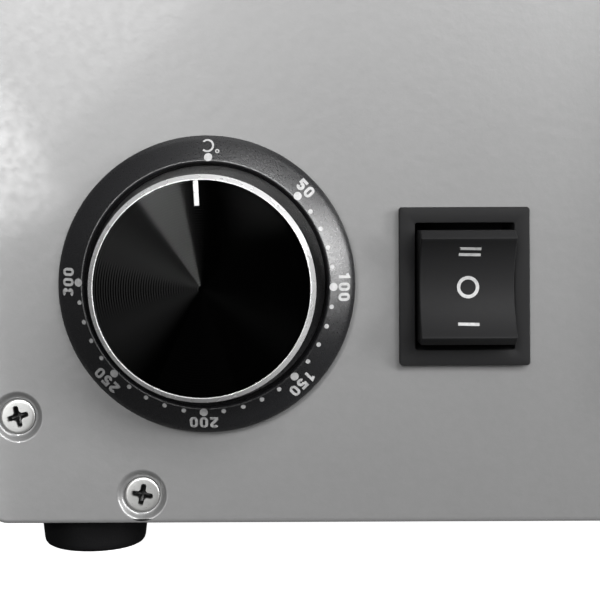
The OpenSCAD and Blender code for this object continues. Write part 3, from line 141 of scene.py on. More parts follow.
class Finish:
    """A material: a Principled shader with its constants, and the nodes that vary it."""

    def __init__(self, name, colour, roughness, metallic=0.0, **constants):
        self.material = bpy.data.materials.new(name)
        self.material.use_nodes = True
        self.tree = self.material.node_tree
        self.shader = self.tree.nodes["Principled BSDF"]
        self.shader.inputs["Base Color"].default_value = (*colour, 1)
        self.shader.inputs["Roughness"].default_value = roughness
        self.shader.inputs["Metallic"].default_value = metallic
        for socket, value in constants.items():
            self.shader.inputs[socket.replace("_", " ")].default_value = value

    def node(self, kind, settings=None, inputs=None, output=0):
        """Adds a node, applies its settings, then sets or links the sockets that are given."""
        made = self.tree.nodes.new(kind)
        for key, value in (settings or {}).items():
            if key == "stops":
                ramp = made.color_ramp.elements
                while len(ramp) < len(value):
                    ramp.new(0.5)
                for element, (place, shade) in zip(ramp, value):
                    element.position = place
                    element.color = (*shade, 1) if isinstance(shade, tuple) else (shade,) * 3 + (1,)
            else:
                setattr(made, key, value)
        for key, value in (inputs or {}).items():
            if isinstance(value, Wire):
                self.tree.links.new(value.socket, made.inputs[key])
            else:
                made.inputs[key].default_value = value
        return Wire(self, made.outputs[output])

    def place(self, scale=(1, 1, 1)):
        """Object coordinates in metres, stretched by scale."""
        coordinates = self.node("ShaderNodeTexCoord", output="Object")
        return self.node("ShaderNodeMapping", None, {"Vector": coordinates, "Scale": scale})

    def noise(self, scale, detail=2.0, stretch=(1, 1, 1), roughness=0.5):
        """Noise with about scale lumps to the metre."""
        inputs = {"Vector": self.place(stretch), "Scale": scale, "Detail": detail, "Roughness": roughness}
        return self.node("ShaderNodeTexNoise", None, inputs)

    def ramp(self, factor, *stops):
        return self.node("ShaderNodeValToRGB", {"stops": stops}, {"Fac": factor})

    def mix(self, factor, a, b):
        """Mixes two colours by a factor."""
        return self.node("ShaderNodeMix", {"data_type": "RGBA"}, {0: factor, 6: a, 7: b}, output=2)

    def feed(self, socket, wire):
        self.tree.links.new(wire.socket, self.shader.inputs[socket])

    def bump(self, *layers):
        """Presses layers of (height, distance in metres) into the surface, one on another."""
        normal = None
        for height, distance in layers:
            inputs = {"Height": height, "Distance": distance, "Strength": 1.0}
            if normal:
                inputs["Normal"] = normal
            normal = self.node("ShaderNodeBump", None, inputs)
        self.feed("Normal", normal)


floor_finish = Finish("studio_floor", (0.86, 0.86, 0.86), 0.6)
floor_finish.shader.inputs["Emission Color"].default_value = (1, 1, 1, 1)
floor_finish.shader.inputs["Emission Strength"].default_value = 1.0
floor_half = 6
floor_mesh = bpy.data.meshes.new("floor")
floor_corners = [(x * floor_half, y * floor_half, 0) for x, y in ((-1, -1), (1, -1), (1, 1), (-1, 1))]
floor_mesh.from_pydata(floor_corners, [], [(0, 1, 2, 3)])
floor_mesh.materials.append(floor_finish.material)
floor = bpy.data.objects.new("floor", floor_mesh)
bpy.context.scene.collection.objects.link(floor)
floor.visible_diffuse = False
floor.visible_glossy = False

# ---- Base pan, partition and supports: zinc-plated sheet ----
# Folded from one-millimetre sheet and left with its plating. The pan carries the feet, the chamber's two
# channels and the partition. Their sheared edges are left square.
body_of = {node: body for body, nodes in record["behaviour"]["bodies"].items() for node in nodes}


def merged(node):
    """A copy of a CAD node's mesh with its seams joined and its flat faces whole."""
    mesh = frame["nodes"][node].data.copy()
    shape = bmesh.new()
    shape.from_mesh(mesh)
    bmesh.ops.remove_doubles(shape, verts=shape.verts, dist=1e-6)
    bmesh.ops.dissolve_limit(shape, angle_limit=radians(0.5), verts=shape.verts, edges=shape.edges)
    shape.to_mesh(mesh)
    shape.free()
    return mesh


def add_piece(name, mesh, finish, node, crease=35):
    """Links a finished mesh in place of its CAD node, or on it if it is the node's print."""
    mesh.materials.clear()
    mesh.materials.append(finish.material)
    mesh.shade_smooth()
    mesh.set_sharp_from_angle(angle=radians(crease))
    piece = bpy.data.objects.new(name, mesh)
    bpy.context.scene.collection.objects.link(piece)
    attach(piece, body_of[node])
    if name != node + "_marks":
        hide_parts(node)


def applied(holder):
    """The mesh of an object with its modifiers applied. The object is removed."""
    made = bpy.data.meshes.new_from_object(holder.evaluated_get(bpy.context.evaluated_depsgraph_get()))
    bpy.data.objects.remove(holder)
    return made


def bevelled(mesh, width, segments, least_angle):
    """A copy of a mesh with each edge sharper than an angle rounded off."""
    holder = bpy.data.objects.new("holder", mesh)
    bpy.context.scene.collection.objects.link(holder)
    bevel = holder.modifiers.new("edge", "BEVEL")
    bevel.width = width
    bevel.segments = segments
    bevel.limit_method = "ANGLE"
    bevel.angle_limit = radians(least_angle)
    return applied(holder)


def refine(node, finish, edge=0.0):
    """Stands a smooth-shaded copy of a CAD node in its place, with its edges broken by a bevel."""
    if edge:
        add_piece(node + "_finished", bevelled(merged(node), edge, 2, 35), finish, node, crease=27)
    else:
        add_piece(node + "_finished", merged(node), finish, node)


zinc = Finish("zinc_plate", (0.52, 0.53, 0.54), 0.38, 0.9)
spangle = zinc.node("ShaderNodeTexVoronoi", None, {"Vector": zinc.place(), "Scale": 160})
zinc.feed("Base Color", zinc.mix(spangle, (0.47, 0.48, 0.49, 1), (0.6, 0.61, 0.62, 1)))
zinc.feed("Roughness", zinc.noise(300, 4) * 0.25 + 0.27)
for node in ("base_pan", "partition", "chamber_supports"):
    refine(node, zinc)

# ---- Sleeve, rear panel and front panel: powder-coated sheet ----
# The sleeve wraps the top and both sides, the panels lie over its flanges. The front is coated silver grey
# with a glossy powder paint that has a little orange peel, the sleeve and the rear with a satin one.
paint = Finish("silver_grey_paint", (0.235, 0.235, 0.235), 0.42, 0.4, Coat_Roughness=0.08)
flake = paint.noise(5200, 1.0)
mottle = paint.noise(60, 3.0)
paint.feed("Base Color", paint.mix(
    flake * 0.5 + mottle * 0.5, (0.21, 0.21, 0.21, 1), (0.24, 0.24, 0.24, 1)))
paint.feed("Roughness", flake * 0.1 + 0.37)
paint.feed("Coat Weight", paint.ramp(paint.noise(480, 2.5), (0.38, 0.5), (0.62, 1.0)))
paint.bump((paint.noise(430, 1.5), 0.00003), (paint.noise(1500, 1.0), 0.00001))

satin = Finish("satin_grey_paint", (0.27, 0.27, 0.27), 0.6, 0.1, Specular_IOR_Level=0.3)
satin.feed("Base Color", satin.mix(
    satin.noise(60, 3.0), (0.255, 0.255, 0.255, 1), (0.285, 0.285, 0.285, 1)))
satin.feed("Roughness", satin.noise(5200, 1.0) * 0.12 + 0.54)
satin.bump((satin.noise(900, 2.0), 0.00005))
refine("outer_sleeve", satin)
refine("rear_panel", satin)


def loose_boxes(node):
    """The lowest and highest corners of each separate solid of a node, from the left."""
    shape = bmesh.new()
    shape.from_mesh(merged(node))
    left = set(shape.verts)
    boxes = []
    while left:
        found = {left.pop()}
        reached = list(found)
        while reached:
            vert = reached.pop()
            near = {edge.other_vert(vert) for edge in vert.link_edges} - found
            reached += near
            found |= near
        left -= found
        boxes.append([
            Vector(pick(vert.co[axis] for vert in found) for axis in range(3)) for pick in (min, max)])
    shape.free()
    return sorted(boxes, key=lambda box: tuple(round(c, 5) for c in box[0]))


mm = 0.001
sheet = 1.5 * mm
panel_corner = 4 * mm
edge_round = 0.4 * mm
cutout_w, cutout_h = 22.3 * mm, 28.2 * mm
cutout_corner = 0.5 * mm
spindle_hole_r = 5.5 * mm
mouth_w, mouth_h = 216 * mm, 110 * mm
mouth_sill = 38 * mm
dimple_reach = 5.1 * mm
dimple_slope_w = 1.4 * mm
dimple_fall = 0.9 * mm
screw_seat_r = 3.55 * mm
screw_hole_r = 2 * mm
screw_head_r = 3.45 * mm


def corner_rect(width, height, radius, steps=8):
    """Points round a rectangle with round corners, centred on the origin."""
    points = []
    for turn, (sx, sy) in enumerate(((1, -1), (1, 1), (-1, 1), (-1, -1))):
        for step in range(steps + 1):
            angle = radians(-90 + 90 * turn + 90 * step / steps)
            points.append((
                sx * (width / 2 - radius) + radius * cos(angle),
                sy * (height / 2 - radius) + radius * sin(angle),
            ))
    return points


def circle(radius, steps=48, centre=(0, 0)):
    return [
        (centre[0] + radius * cos(2 * pi * n / steps), centre[1] + radius * sin(2 * pi * n / steps))
        for n in range(steps)
    ]


def add_loop(shape, points, depth):
    """A ring of vertices in a plane parallel to the panel, at a depth out of it."""
    return [shape.verts.new((x, y, depth)) for x, y in points]


def bridge(shape, first, second):
    """A band of quads between two rings with equally many vertices."""
    count = len(first)
    for n in range(count):
        shape.faces.new((first[n], first[(n + 1) % count], second[(n + 1) % count], second[n]))


def loft(shape, rings):
    for first, second in zip(rings, rings[1:]):
        bridge(shape, first, second)


def fill_between(shape, rings):
    """Fills the flat region inside the first ring and outside the others."""
    edges = []
    for ring in rings:
        for n, vert in enumerate(ring):
            ends = (vert, ring[(n + 1) % len(ring)])
            edges.append(shape.edges.get(ends) or shape.edges.new(ends))
    bmesh.ops.triangle_fill(shape, use_beauty=True, edges=edges)


def to_mesh(shape, name, place=Matrix()):
    """Turns a bmesh into a mesh in its place, with its normals outwards."""
    bmesh.ops.remove_doubles(shape, verts=shape.verts, dist=1e-7)
    bmesh.ops.recalc_face_normals(shape, faces=shape.faces)
    bmesh.ops.transform(shape, matrix=place, verts=shape.verts)
    mesh = bpy.data.meshes.new(name)
    shape.to_mesh(mesh)
    shape.free()
    return mesh


def out_of_panel(x, z):
    """Local X to the right, Y up and Z out of the front panel, from a point measured from its corner."""
    return Matrix.Translation((panel_lo.x + x, panel_y, panel_lo.z + z)) @ Matrix.Rotation(pi / 2, 4, "X")


panel_w = panel_hi.x - panel_lo.x
panel_h = panel_hi.z - panel_lo.z
panel_screws = [((lo.x + hi.x) / 2 - panel_lo.x, (lo.z + hi.z) / 2 - panel_lo.z)
                for lo, hi in loose_boxes("front_screws")]
dial_x = (dial_lo.x + dial_hi.x) / 2 - panel_lo.x
dial_z = (dial_lo.z + dial_hi.z) / 2 - panel_lo.z
switch_lo, switch_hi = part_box("switch_housing")
switch_x = (switch_lo.x + switch_hi.x) / 2 - panel_lo.x
switch_z = (switch_lo.z + switch_hi.z) / 2 - panel_lo.z
tube_lo, tube_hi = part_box("quartz_tubes")
mouth_x = (tube_lo.x + tube_hi.x) / 2 - panel_lo.x
mouth_z = mouth_sill + mouth_h / 2
half_w, half_h = panel_w / 2, panel_h / 2


def moved(points, x, z):
    """Points measured from the panel's corner, about its centre."""
    return [(px + x - half_w, py + z - half_h) for px, py in points]


shape = bmesh.new()
outer = []
for inset, depth in ((2 * edge_round, 0), (edge_round, 0), (0.3 * edge_round, -0.3 * edge_round),
                     (0, -edge_round), (0, -sheet + 0.1 * mm), (0.1 * mm, -sheet)):
    outer.append(add_loop(shape, corner_rect(
        panel_w - 2 * inset, panel_h - 2 * inset, panel_corner - inset), depth))
loft(shape, outer)
front_rings, back_rings = [outer[0]], [outer[-1]]
dimple_lip = dimple_reach - 0.05 * mm
dimple = [(dimple_reach, 0), (dimple_lip, 0)]
dimple += [(dimple_lip - dimple_slope_w * t, -dimple_fall * (1 - cos(pi * t)) / 2)
           for t in (0.15, 0.3, 0.45, 0.6, 0.75, 0.9, 1)]
dimple += [(screw_seat_r, -0.92 * mm), (screw_hole_r, -2.65 * mm), (screw_hole_r, -3.3 * mm),
           (2.7 * mm, -3.3 * mm), (4.2 * mm, -sheet)]
for x, z in panel_screws:
    rings = [add_loop(shape, moved(circle(r), x, z), depth) for r, depth in dimple]
    loft(shape, rings)
    front_rings.append(rings[0])
    back_rings.append(rings[-1])
for points in (
    moved(corner_rect(mouth_w, mouth_h, cutout_corner), mouth_x, mouth_z),
    moved(corner_rect(cutout_w, cutout_h, cutout_corner), switch_x, switch_z),
    moved(circle(spindle_hole_r), dial_x, dial_z),
):
    rings = [add_loop(shape, points, depth) for depth in (0, -sheet)]
    loft(shape, rings)
    front_rings.append(rings[0])
    back_rings.append(rings[1])
fill_between(shape, front_rings)
fill_between(shape, back_rings)
panel_mesh = to_mesh(shape, "front_panel", out_of_panel(half_w, half_h))
add_piece("front_panel_finished", panel_mesh, paint, "front_panel")

# ---- Panel screws: M4 countersunk, cross recess, bright zinc ----
# Ten screws hold the front panel. Each head has a turned face with a broken rim and a cross recess
# with tapered wings, and sits in its dimple a little below the paint.
screw_steel = Finish("screw_zinc", (0.66, 0.66, 0.65), 0.3, 0.7)
screw_steel.feed("Roughness", screw_steel.noise(2600, 3.0) * 0.3 + 0.2)
screw_steel.bump((screw_steel.noise(1700, 2.0), 0.000005))
head_steel = Finish("screw_head_zinc", (0.66, 0.66, 0.65), 0.3, 0.75)
head_steel.feed("Roughness", head_steel.noise(2600, 3.0) * 0.25 + 0.2)
# The head's colour goes from zinc to near black deeper than 0.4 mm below the panel face: painted shade in
# the cross recess.
depth_in = head_steel.node("ShaderNodeSeparateXYZ", None, {"Vector": head_steel.place()}, output="Y")
sunk = (depth_in - (panel_y + 0.4 * mm)) / (0.5 * mm)
recess_shade = head_steel.node("ShaderNodeClamp", None, {"Value": sunk})
head_steel.feed("Base Color", head_steel.mix(recess_shade, (0.5, 0.5, 0.49, 1), (0.03, 0.03, 0.03, 1)))


def cross_points(span, arm):
    """The outline of a cross recess, its four wings with round ends and round inner corners."""
    points = []
    for quarter in range(4):
        turn = Matrix.Rotation(quarter * pi / 2, 2)
        wing = [
            (arm * 1.3, -arm * 1.2), (arm * 1.6, -arm * 0.98), (span * 0.84, -arm * 0.9),
            (span * 0.97, -arm * 0.6), (span, 0), (span * 0.97, arm * 0.6),
            (span * 0.84, arm * 0.9), (arm * 1.6, arm * 0.98),
        ]
        points += [tuple(turn @ Vector(p)) for p in wing]
    return points


def instances(name, unit, places, finish, node, crease=35):
    """Repeats a unit mesh at (matrix) places with Geometry Nodes and makes the result a plain mesh."""
    holder = bpy.data.objects.new(name + "_points", bpy.data.meshes.new(name + "_points"))
    holder.data.from_pydata([place.to_translation() for place in places], [], [])
    turns = holder.data.attributes.new("turn", "FLOAT_VECTOR", "POINT")
    for item, place in zip(turns.data, places):
        item.vector = place.to_euler()
    bpy.context.scene.collection.objects.link(holder)
    unit.materials.clear()
    unit.materials.append(finish.material)
    unit_object = bpy.data.objects.new(name + "_unit", unit)
    bpy.context.scene.collection.objects.link(unit_object)
    tree = bpy.data.node_groups.new(name + "_rows", "GeometryNodeTree")
    for label, kind in (("Geometry", "Geometry"), ("Piece", "Object"), ("Finish", "Material")):
        tree.interface.new_socket(label, in_out="INPUT", socket_type="NodeSocket" + kind)
    tree.interface.new_socket("Geometry", in_out="OUTPUT", socket_type="NodeSocketGeometry")
    nodes_by = {key: tree.nodes.new(kind) for key, kind in {
        "in": "NodeGroupInput", "out": "NodeGroupOutput", "unit": "GeometryNodeObjectInfo",
        "turn": "GeometryNodeInputNamedAttribute", "rows": "GeometryNodeInstanceOnPoints",
        "solid": "GeometryNodeRealizeInstances", "paint": "GeometryNodeSetMaterial",
    }.items()}
    nodes_by["turn"].data_type = "FLOAT_VECTOR"
    nodes_by["turn"].inputs["Name"].default_value = "turn"
    for a, out, b, into in (
        ("in", "Geometry", "rows", "Points"), ("in", "Piece", "unit", "Object"),
        ("unit", "Geometry", "rows", "Instance"), ("turn", "Attribute", "rows", "Rotation"),
        ("rows", "Instances", "solid", "Geometry"), ("solid", "Geometry", "paint", "Geometry"),
        ("in", "Finish", "paint", "Material"), ("paint", "Geometry", "out", "Geometry"),
    ):
        tree.links.new(nodes_by[a].outputs[out], nodes_by[b].inputs[into])
    rows = holder.modifiers.new("rows", "NODES")
    rows.node_group = tree
    sockets = {item.name: item.identifier for item in tree.interface.items_tree if item.in_out == "INPUT"}
    rows[sockets["Piece"]] = unit_object
    rows[sockets["Finish"]] = finish.material
    mesh = applied(holder)
    bpy.data.objects.remove(unit_object)
    add_piece(name, mesh, finish, node, crease=crease)


head_sink = 0.3 * mm
cross_depth = 1.7 * mm
cross_span, cross_arm = screw_head_r * 0.64, screw_head_r * 0.17
shank_r = 1.9 * mm
screw_length = 8.3 * mm
shape = bmesh.new()
recess = [
    add_loop(shape, cross_points(cross_span * share, cross_arm * share), -head_sink - drop)
    for share, drop in ((1, 0), (0.95, 0.1 * mm), (0.72, cross_depth), (0.3, cross_depth * 1.2))
]
loft(shape, recess)
shape.faces.new(recess[-1])
turned_rings = [add_loop(shape, circle(r), depth) for r, depth in (
    (screw_head_r - 0.55 * mm, -head_sink), (screw_head_r - 0.25 * mm, -0.33 * mm),
    (screw_head_r - 0.05 * mm, -0.45 * mm), (screw_head_r, -0.6 * mm), (screw_head_r, -0.85 * mm),
    (shank_r, -2.6 * mm), (shank_r, -screw_length + 0.3 * mm), (shank_r * 0.75, -screw_length),
)]
loft(shape, turned_rings)
shape.faces.new(turned_rings[-1])
fill_between(shape, [turned_rings[0], recess[0]])
screw_turns = (15, 58, 80, 30, 37, 66, 12, 74, 25, 49)
instances(
    "front_screws_finished", to_mesh(shape, "countersunk"),
    [out_of_panel(x, z) @ Matrix.Rotation(radians(turn), 4, "Z")
     for (x, z), turn in zip(panel_screws, screw_turns)],
    head_steel, "front_screws",
)

# ---- Feet: moulded rubber ----
# Four short cones with a softened rim, each held by a screw sunk in its base. The rubber is dull black
# with the faint grain of its mould.
rubber = Finish("foot_rubber", (0.005, 0.005, 0.0055), 0.62, Specular_IOR_Level=0.15)
rubber.feed("Roughness", rubber.noise(900, 3.0) * 0.25 + 0.5)
rubber.bump((rubber.noise(2600, 3.0), 0.00006))


def soften(profile, radius, steps=4):
    """Rounds the inner corners of a profile of (r, h) or (r, h, own radius) points."""
    made = [tuple(profile[0][:2])]
    for before, corner, after in zip(profile, profile[1:], profile[2:]):
        size = corner[2] if len(corner) > 2 else radius
        c = Vector(corner[:2])
        a = Vector(before[:2]) - c
        b = Vector(after[:2]) - c
        reach = min(size, a.length * 0.49, b.length * 0.49)
        if size == 0:
            made.append(tuple(c))
            continue
        p, q = c + a.normalized() * reach, c + b.normalized() * reach
        for n in range(steps + 1):
            t = n / steps
            made.append(tuple((1 - t) ** 2 * p + 2 * t * (1 - t) * c + t * t * q))
    made.append(tuple(profile[-1][:2]))
    return made


def turned(name, profile, place, steps=128, closed=False):
    """Spins a profile of (radius, height) about Z: solid where it meets the axis, else a closed ring."""
    shape = bmesh.new()
    rings = []
    for r, h in profile:
        rings.append([shape.verts.new((0, 0, h))] if r < 1e-9 else add_loop(shape, circle(r, steps), h))
    pairs = list(zip(rings, rings[1:])) + ([(rings[-1], rings[0])] if closed else [])
    for first, second in pairs:
        if len(first) == 1 and len(second) == 1:
            continue
        if len(first) == 1 or len(second) == 1:
            pole, ring = (first[0], second) if len(first) == 1 else (second[0], first)
            for n in range(steps):
                shape.faces.new((pole, ring[n], ring[(n + 1) % steps]))
        else:
            bridge(shape, first, second)
    return to_mesh(shape, name, place)


feet = loose_boxes("rubber_feet")
foot_h = feet[0][1].z - feet[0][0].z
foot_r = (feet[0][1].x - feet[0][0].x) / 2
foot_base_r = foot_r - 0.9 * mm
foot_hole_r, foot_well_r, foot_well_h = 2.2 * mm, 4.2 * mm, 5 * mm
foot_profile = soften([
    (foot_hole_r, foot_h, 0), (foot_r, foot_h, 0.3 * mm), (foot_base_r, 0, 1.5 * mm), (foot_well_r, 0),
    (foot_well_r, foot_well_h), (foot_hole_r, foot_well_h),
], 0.5 * mm)
foot_places = [Matrix.Translation(((lo.x + hi.x) / 2, (lo.y + hi.y) / 2, lo.z)) for lo, hi in feet]
instances("rubber_feet_finished", turned("foot", foot_profile, Matrix(), 96, closed=True), foot_places,
          rubber, "rubber_feet")

# ---- Dial plate: fine-grained black moulding with a printed scale ----
# A shallow dish under the knob. Its raised rim slopes up towards the knob and carries the temperature
# scale, printed in pale grey: 50 to 300 with a large dot at each 50 and four small ones between.
grained = Finish("grained_black_plastic", (0.01, 0.01, 0.011), 0.35, 0.0, Specular_IOR_Level=0.95)
grained.feed("Roughness", grained.noise(4200, 2.0) * 0.2 + 0.2)
grained.bump((grained.noise(5500, 2.0), 0.00004))
plate_r = (dial_hi.x - dial_lo.x) / 2
plate_in_r = 23.3 * mm
rim_h = 3.4 * mm
rim_round = 0.8 * mm
crest_h = 6 * mm
crest_r = plate_in_r + 0.6 * mm
floor_h = 1.5 * mm
plate_profile = soften([
    (spindle_hole_r, floor_h, 0), (plate_in_r, floor_h), (plate_in_r, crest_h - 0.5 * mm),
    (crest_r, crest_h), (plate_r - rim_round, rim_h, rim_round),
    (plate_r, rim_h - rim_round), (plate_r, 0, 0.1 * mm), (spindle_hole_r, 0),
], 0.3 * mm)
on_dial = out_of_panel(dial_x, dial_z)
add_piece("dial_plate_finished", turned("dial_plate", plate_profile, on_dial, 192, closed=True), grained,
          "dial_plate")

print_grey = Finish("scale_print", (0.5, 0.5, 0.49), 0.5)
print_grey.feed("Base Color", print_grey.ramp(print_grey.noise(1500, 2.0), (0.3, 0.34), (0.7, 0.46)))
ink = 0.03 * mm
slope = (crest_h - rim_h) / (crest_r - plate_r + rim_round)


def scale_height(x, y):
    """Height of the sloping rim over a point of the dial."""
    return crest_h + slope * (hypot(x, y) - crest_r)


def printed(shape, outline, surface, holes=()):
    """A thin pad of ink on a surface: the outline's prism, with any holes left open."""
    loops = [outline, *holes]
    tops = [[shape.verts.new((x, y, surface(x, y) + ink)) for x, y in loop] for loop in loops]
    lows = [[shape.verts.new((x, y, surface(x, y) - ink)) for x, y in loop] for loop in loops]
    fill_between(shape, tops)
    fill_between(shape, lows)
    for top, low in zip(tops, lows):
        bridge(shape, low, top)


def stroke(points, width):
    """The outline of a pen stroke of one width along open points."""
    left, right = [], []
    for n, point in enumerate(points):
        p = Vector(point)
        before = p - Vector(points[n - 1]) if n else None
        after = Vector(points[n + 1]) - p if n < len(points) - 1 else None
        lead = [d.normalized() for d in (before, after) if d is not None]
        way = sum(lead, Vector((0, 0))).normalized()
        side = Vector((-way.y, way.x))
        miter = 1 / max(0.6, side.dot(Vector((-lead[0].y, lead[0].x))))
        left.append(tuple(p + side * width / 2 * miter))
        right.append(tuple(p - side * width / 2 * miter))
    return left + right[::-1]


def arc(cx, cy, rx, ry, start, end, steps=12):
    """Points on an ellipse between two angles, in degrees from +X."""
    return [
        (cx + rx * cos(radians(start + (end - start) * n / steps)),
         cy + ry * sin(radians(start + (end - start) * n / steps)))
        for n in range(steps + 1)
    ]


# Digits in a cell 1 high, drawn with one pen: open strokes, and for the nought a closed ring.
pen = 0.25
half = 0.345 - pen / 2
top = 1 - pen / 2
low = pen / 2
digit_strokes = {
    "1": [[(-0.26, top - 0.16), (0.02, top - 0.02), (0.02, 0)]],
    "2": [arc(0, 0.72, half, 0.28 - pen / 2, 170, -25, 12) + [(-half + 0.02, 0.2), (-half, low)],
          [(-0.33, low), (0.34, low)]],
    "3": [arc(0, 0.74, half, 0.26 - pen / 2, 165, -80, 12),
          arc(0, 0.27, half, 0.27 - pen / 2, 80, -165, 12)],
    "5": [[(0.31, top), (-half + 0.02, top)], [(-half + 0.01, 1), (-half - 0.01, 0.5)],
          arc(0, 0.34, half, 0.34 - pen / 2, 140, -165, 16)],
}
digit_w = 0.86


def write(shape, text, height, radius, angle):
    """Digits on the rim with their feet at a radius, centred on a clockwise angle from the top."""
    for n, digit in enumerate(text):
        shift = (n - (len(text) - 1) / 2) * digit_w

        def place(points):
            made = []
            for u, v in points:
                x = (u + shift) * height
                y = radius + v * height
                turn = -radians(angle)
                made.append((x * cos(turn) - y * sin(turn), x * sin(turn) + y * cos(turn)))
            return made

        if digit == "0":
            outer_ring = arc(0, 0.66, 0.345, 0.34, 0, 180, 10) + arc(0, 0.34, 0.345, 0.34, 180, 360, 10)
            inner_ring = arc(0, 0.66, 0.11, 0.12, 0, 180, 10) + arc(0, 0.34, 0.11, 0.12, 180, 360, 10)
            printed(shape, place(outer_ring), scale_height, [place(inner_ring)])
        else:
            for line in digit_strokes[digit]:
                printed(shape, place(stroke(line, pen)), scale_height)


shape = bmesh.new()
dot_ring = 24.6 * mm
dot_r, small_dot_r = 0.8 * mm, 0.45 * mm
digit_h = 2.3 * mm
digit_feet = 25.6 * mm
scale_turn = 1.2
steps_to_mark, mark_turn = 5, 45
for step in range(6 * steps_to_mark + 1):
    angle = radians(scale_turn + step * mark_turn / steps_to_mark)
    if 0 < step < steps_to_mark:
        continue
    size = small_dot_r if step % steps_to_mark else dot_r
    centre = (dot_ring * sin(angle), dot_ring * cos(angle))
    printed(shape, circle(size, 16, centre), scale_height)
for n in range(1, 7):
    write(shape, str(50 * n), digit_h, digit_feet, scale_turn + mark_turn * n)
unit_x, unit_y, unit_r, unit_pen = 0.3 * mm, 26.9 * mm, 1.12 * mm, 0.36 * mm
degree_at = (2.25 * mm, unit_y - 1.1 * mm)
degree_r, degree_hole_r = 0.42 * mm, 0.2 * mm
printed(shape, stroke(arc(unit_x, unit_y, unit_r, unit_r, 135, -135, 24), unit_pen), scale_height)
printed(shape, circle(degree_r, 16, degree_at), scale_height, [circle(degree_hole_r, 16, degree_at)])
add_piece("dial_plate_marks", to_mesh(shape, "dial_marks", on_dial), print_grey, "dial_plate", crease=60)

# ---- Knob: moulded body, diamond-cut ring, spun disc and pointer ----
# The body is pressed on the thermostat's spindle. Its face is an anodised disc turned with fine
# concentric grooves, each falling gently outwards, framed by a bright chamfered ring. A bright bar let
# into the disc is the pointer.
knob_lo, knob_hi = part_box("knob_body")
knob_r = (knob_hi.x - knob_lo.x) / 2
knob_h = panel_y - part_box("knob_ring")[0].y
ring_w = 1.1 * mm
ring_drop = 1.8 * mm
ring_low = knob_h - ring_drop - 1 * mm
skirt_low, skirt_t = 2.5 * mm, 2.2 * mm
bore_r, hub_r, hub_low, web_t = 3 * mm, 6.5 * mm, 3.5 * mm, 4 * mm
disc_t = 0.8 * mm
disc_top = knob_h - 0.2 * mm

knob_plastic = Finish("knob_plastic", (0.006, 0.006, 0.0065), 0.5, Specular_IOR_Level=0.2)
knob_plastic.feed("Roughness", knob_plastic.noise(2000, 2.0) * 0.2 + 0.32)
knob_plastic.bump((knob_plastic.noise(5000, 2.0), 0.00002))
body_profile = soften([
    (bore_r, hub_low, 0), (hub_r, hub_low), (hub_r, knob_h - web_t),
    (knob_r - skirt_t, knob_h - web_t), (knob_r - skirt_t, skirt_low), (knob_r, skirt_low),
    (knob_r, ring_low, 0.15 * mm), (knob_r - ring_w, ring_low, 0.1 * mm),
    (knob_r - ring_w, disc_top - disc_t, 0.1 * mm), (bore_r, disc_top - disc_t),
], 0.4 * mm)
add_piece("knob_body_finished", turned("knob_body", body_profile, on_dial, 192, closed=True), knob_plastic,
          "knob_body")

bright = Finish("diamond_cut_aluminium", (0.8, 0.8, 0.8), 0.28, 0.55)
bright.feed("Roughness", bright.noise(300, 2.0) * 0.1 + 0.22)
ring_profile = soften([
    (knob_r - ring_w, ring_low, 0), (knob_r, ring_low, 0.05 * mm), (knob_r, knob_h - ring_drop, 0.12 * mm),
    (knob_r - ring_w + 0.15 * mm, knob_h, 0.1 * mm), (knob_r - ring_w, knob_h, 0.05 * mm),
    (knob_r - ring_w, knob_h - 0.4 * mm),
], 0.1 * mm)
add_piece("knob_ring_finished", turned("knob_ring", ring_profile, on_dial, 256, closed=True), bright,
          "knob_ring", crease=50)

anodised = Finish("black_anodised", (0.0075, 0.0075, 0.008), 0.12, 1.0)
anodised.feed("Roughness", anodised.noise(1800, 2.0) * 0.06 + 0.04)
groove_pitch = 0.46 * mm
groove_depth = 0.05 * mm
ridge_lag = 2.7
across, along = [
    anodised.node("ShaderNodeSeparateXYZ", None, {"Vector": anodised.place()}, output=axis) - middle
    for axis, middle in (("X", dial_centre.x), ("Z", dial_centre.z))
]
out_from_axis = (across * across + along * along) ** 0.5
# The colour rises and falls with each groove's profile, lightest on its steeper outer slope and darkest
# near its crest: painted highlight and shade along the grooves.
groove_shade_wave = anodised.node(
    "ShaderNodeMath", {"operation": "SINE"}, {0: out_from_axis * (2 * pi / groove_pitch) - ridge_lag})
anodised.feed("Base Color", anodised.ramp(groove_shade_wave * 0.5 + 0.5, (0.1, 0.003), (0.9, 0.0085)))
disc_r = knob_r - ring_w - 0.05 * mm
disc_profile = [(0, disc_top)]
groove = ((0, 0.1), (0.06, 0), (0.2, 0.024), (0.34, 0.1), (0.48, 0.22), (0.62, 0.4), (0.76, 0.63), (0.9, 1))
for n in range(1, int(disc_r / groove_pitch)):
    disc_profile += [((n + share) * groove_pitch, disc_top - drop * groove_depth) for share, drop in groove]
disc_profile += [(disc_r - 0.1 * mm, disc_top), (disc_r, disc_top - 0.1 * mm), (disc_r, disc_top - disc_t),
                 (0, disc_top - disc_t)]
add_piece("knob_face_finished", turned("knob_face", disc_profile, on_dial, 160), anodised, "knob_face",
          crease=30)

pointer_w = 0.95 * mm
pointer_l = 4.7 * mm
pointer_turn = 3
pointer_chamfer = 0.08 * mm
shape = bmesh.new()
pointer_rings = [
    add_loop(shape, [(x, y + disc_r - pointer_l / 2) for x, y in corner_rect(
        pointer_w - 2 * inset, pointer_l - 2 * inset, 0.12 * mm, 3)], disc_top + rise)
    for inset, rise in ((0, -0.5 * mm), (0, 0.02 * mm), (pointer_chamfer, 0.1 * mm))
]
loft(shape, pointer_rings)
shape.faces.new(pointer_rings[0])
shape.faces.new(pointer_rings[-1])
pointer_place = on_dial @ Matrix.Rotation(radians(pointer_turn), 4, "Z")
add_piece("knob_pointer_finished", to_mesh(shape, "knob_pointer", pointer_place), bright, "knob_pointer")

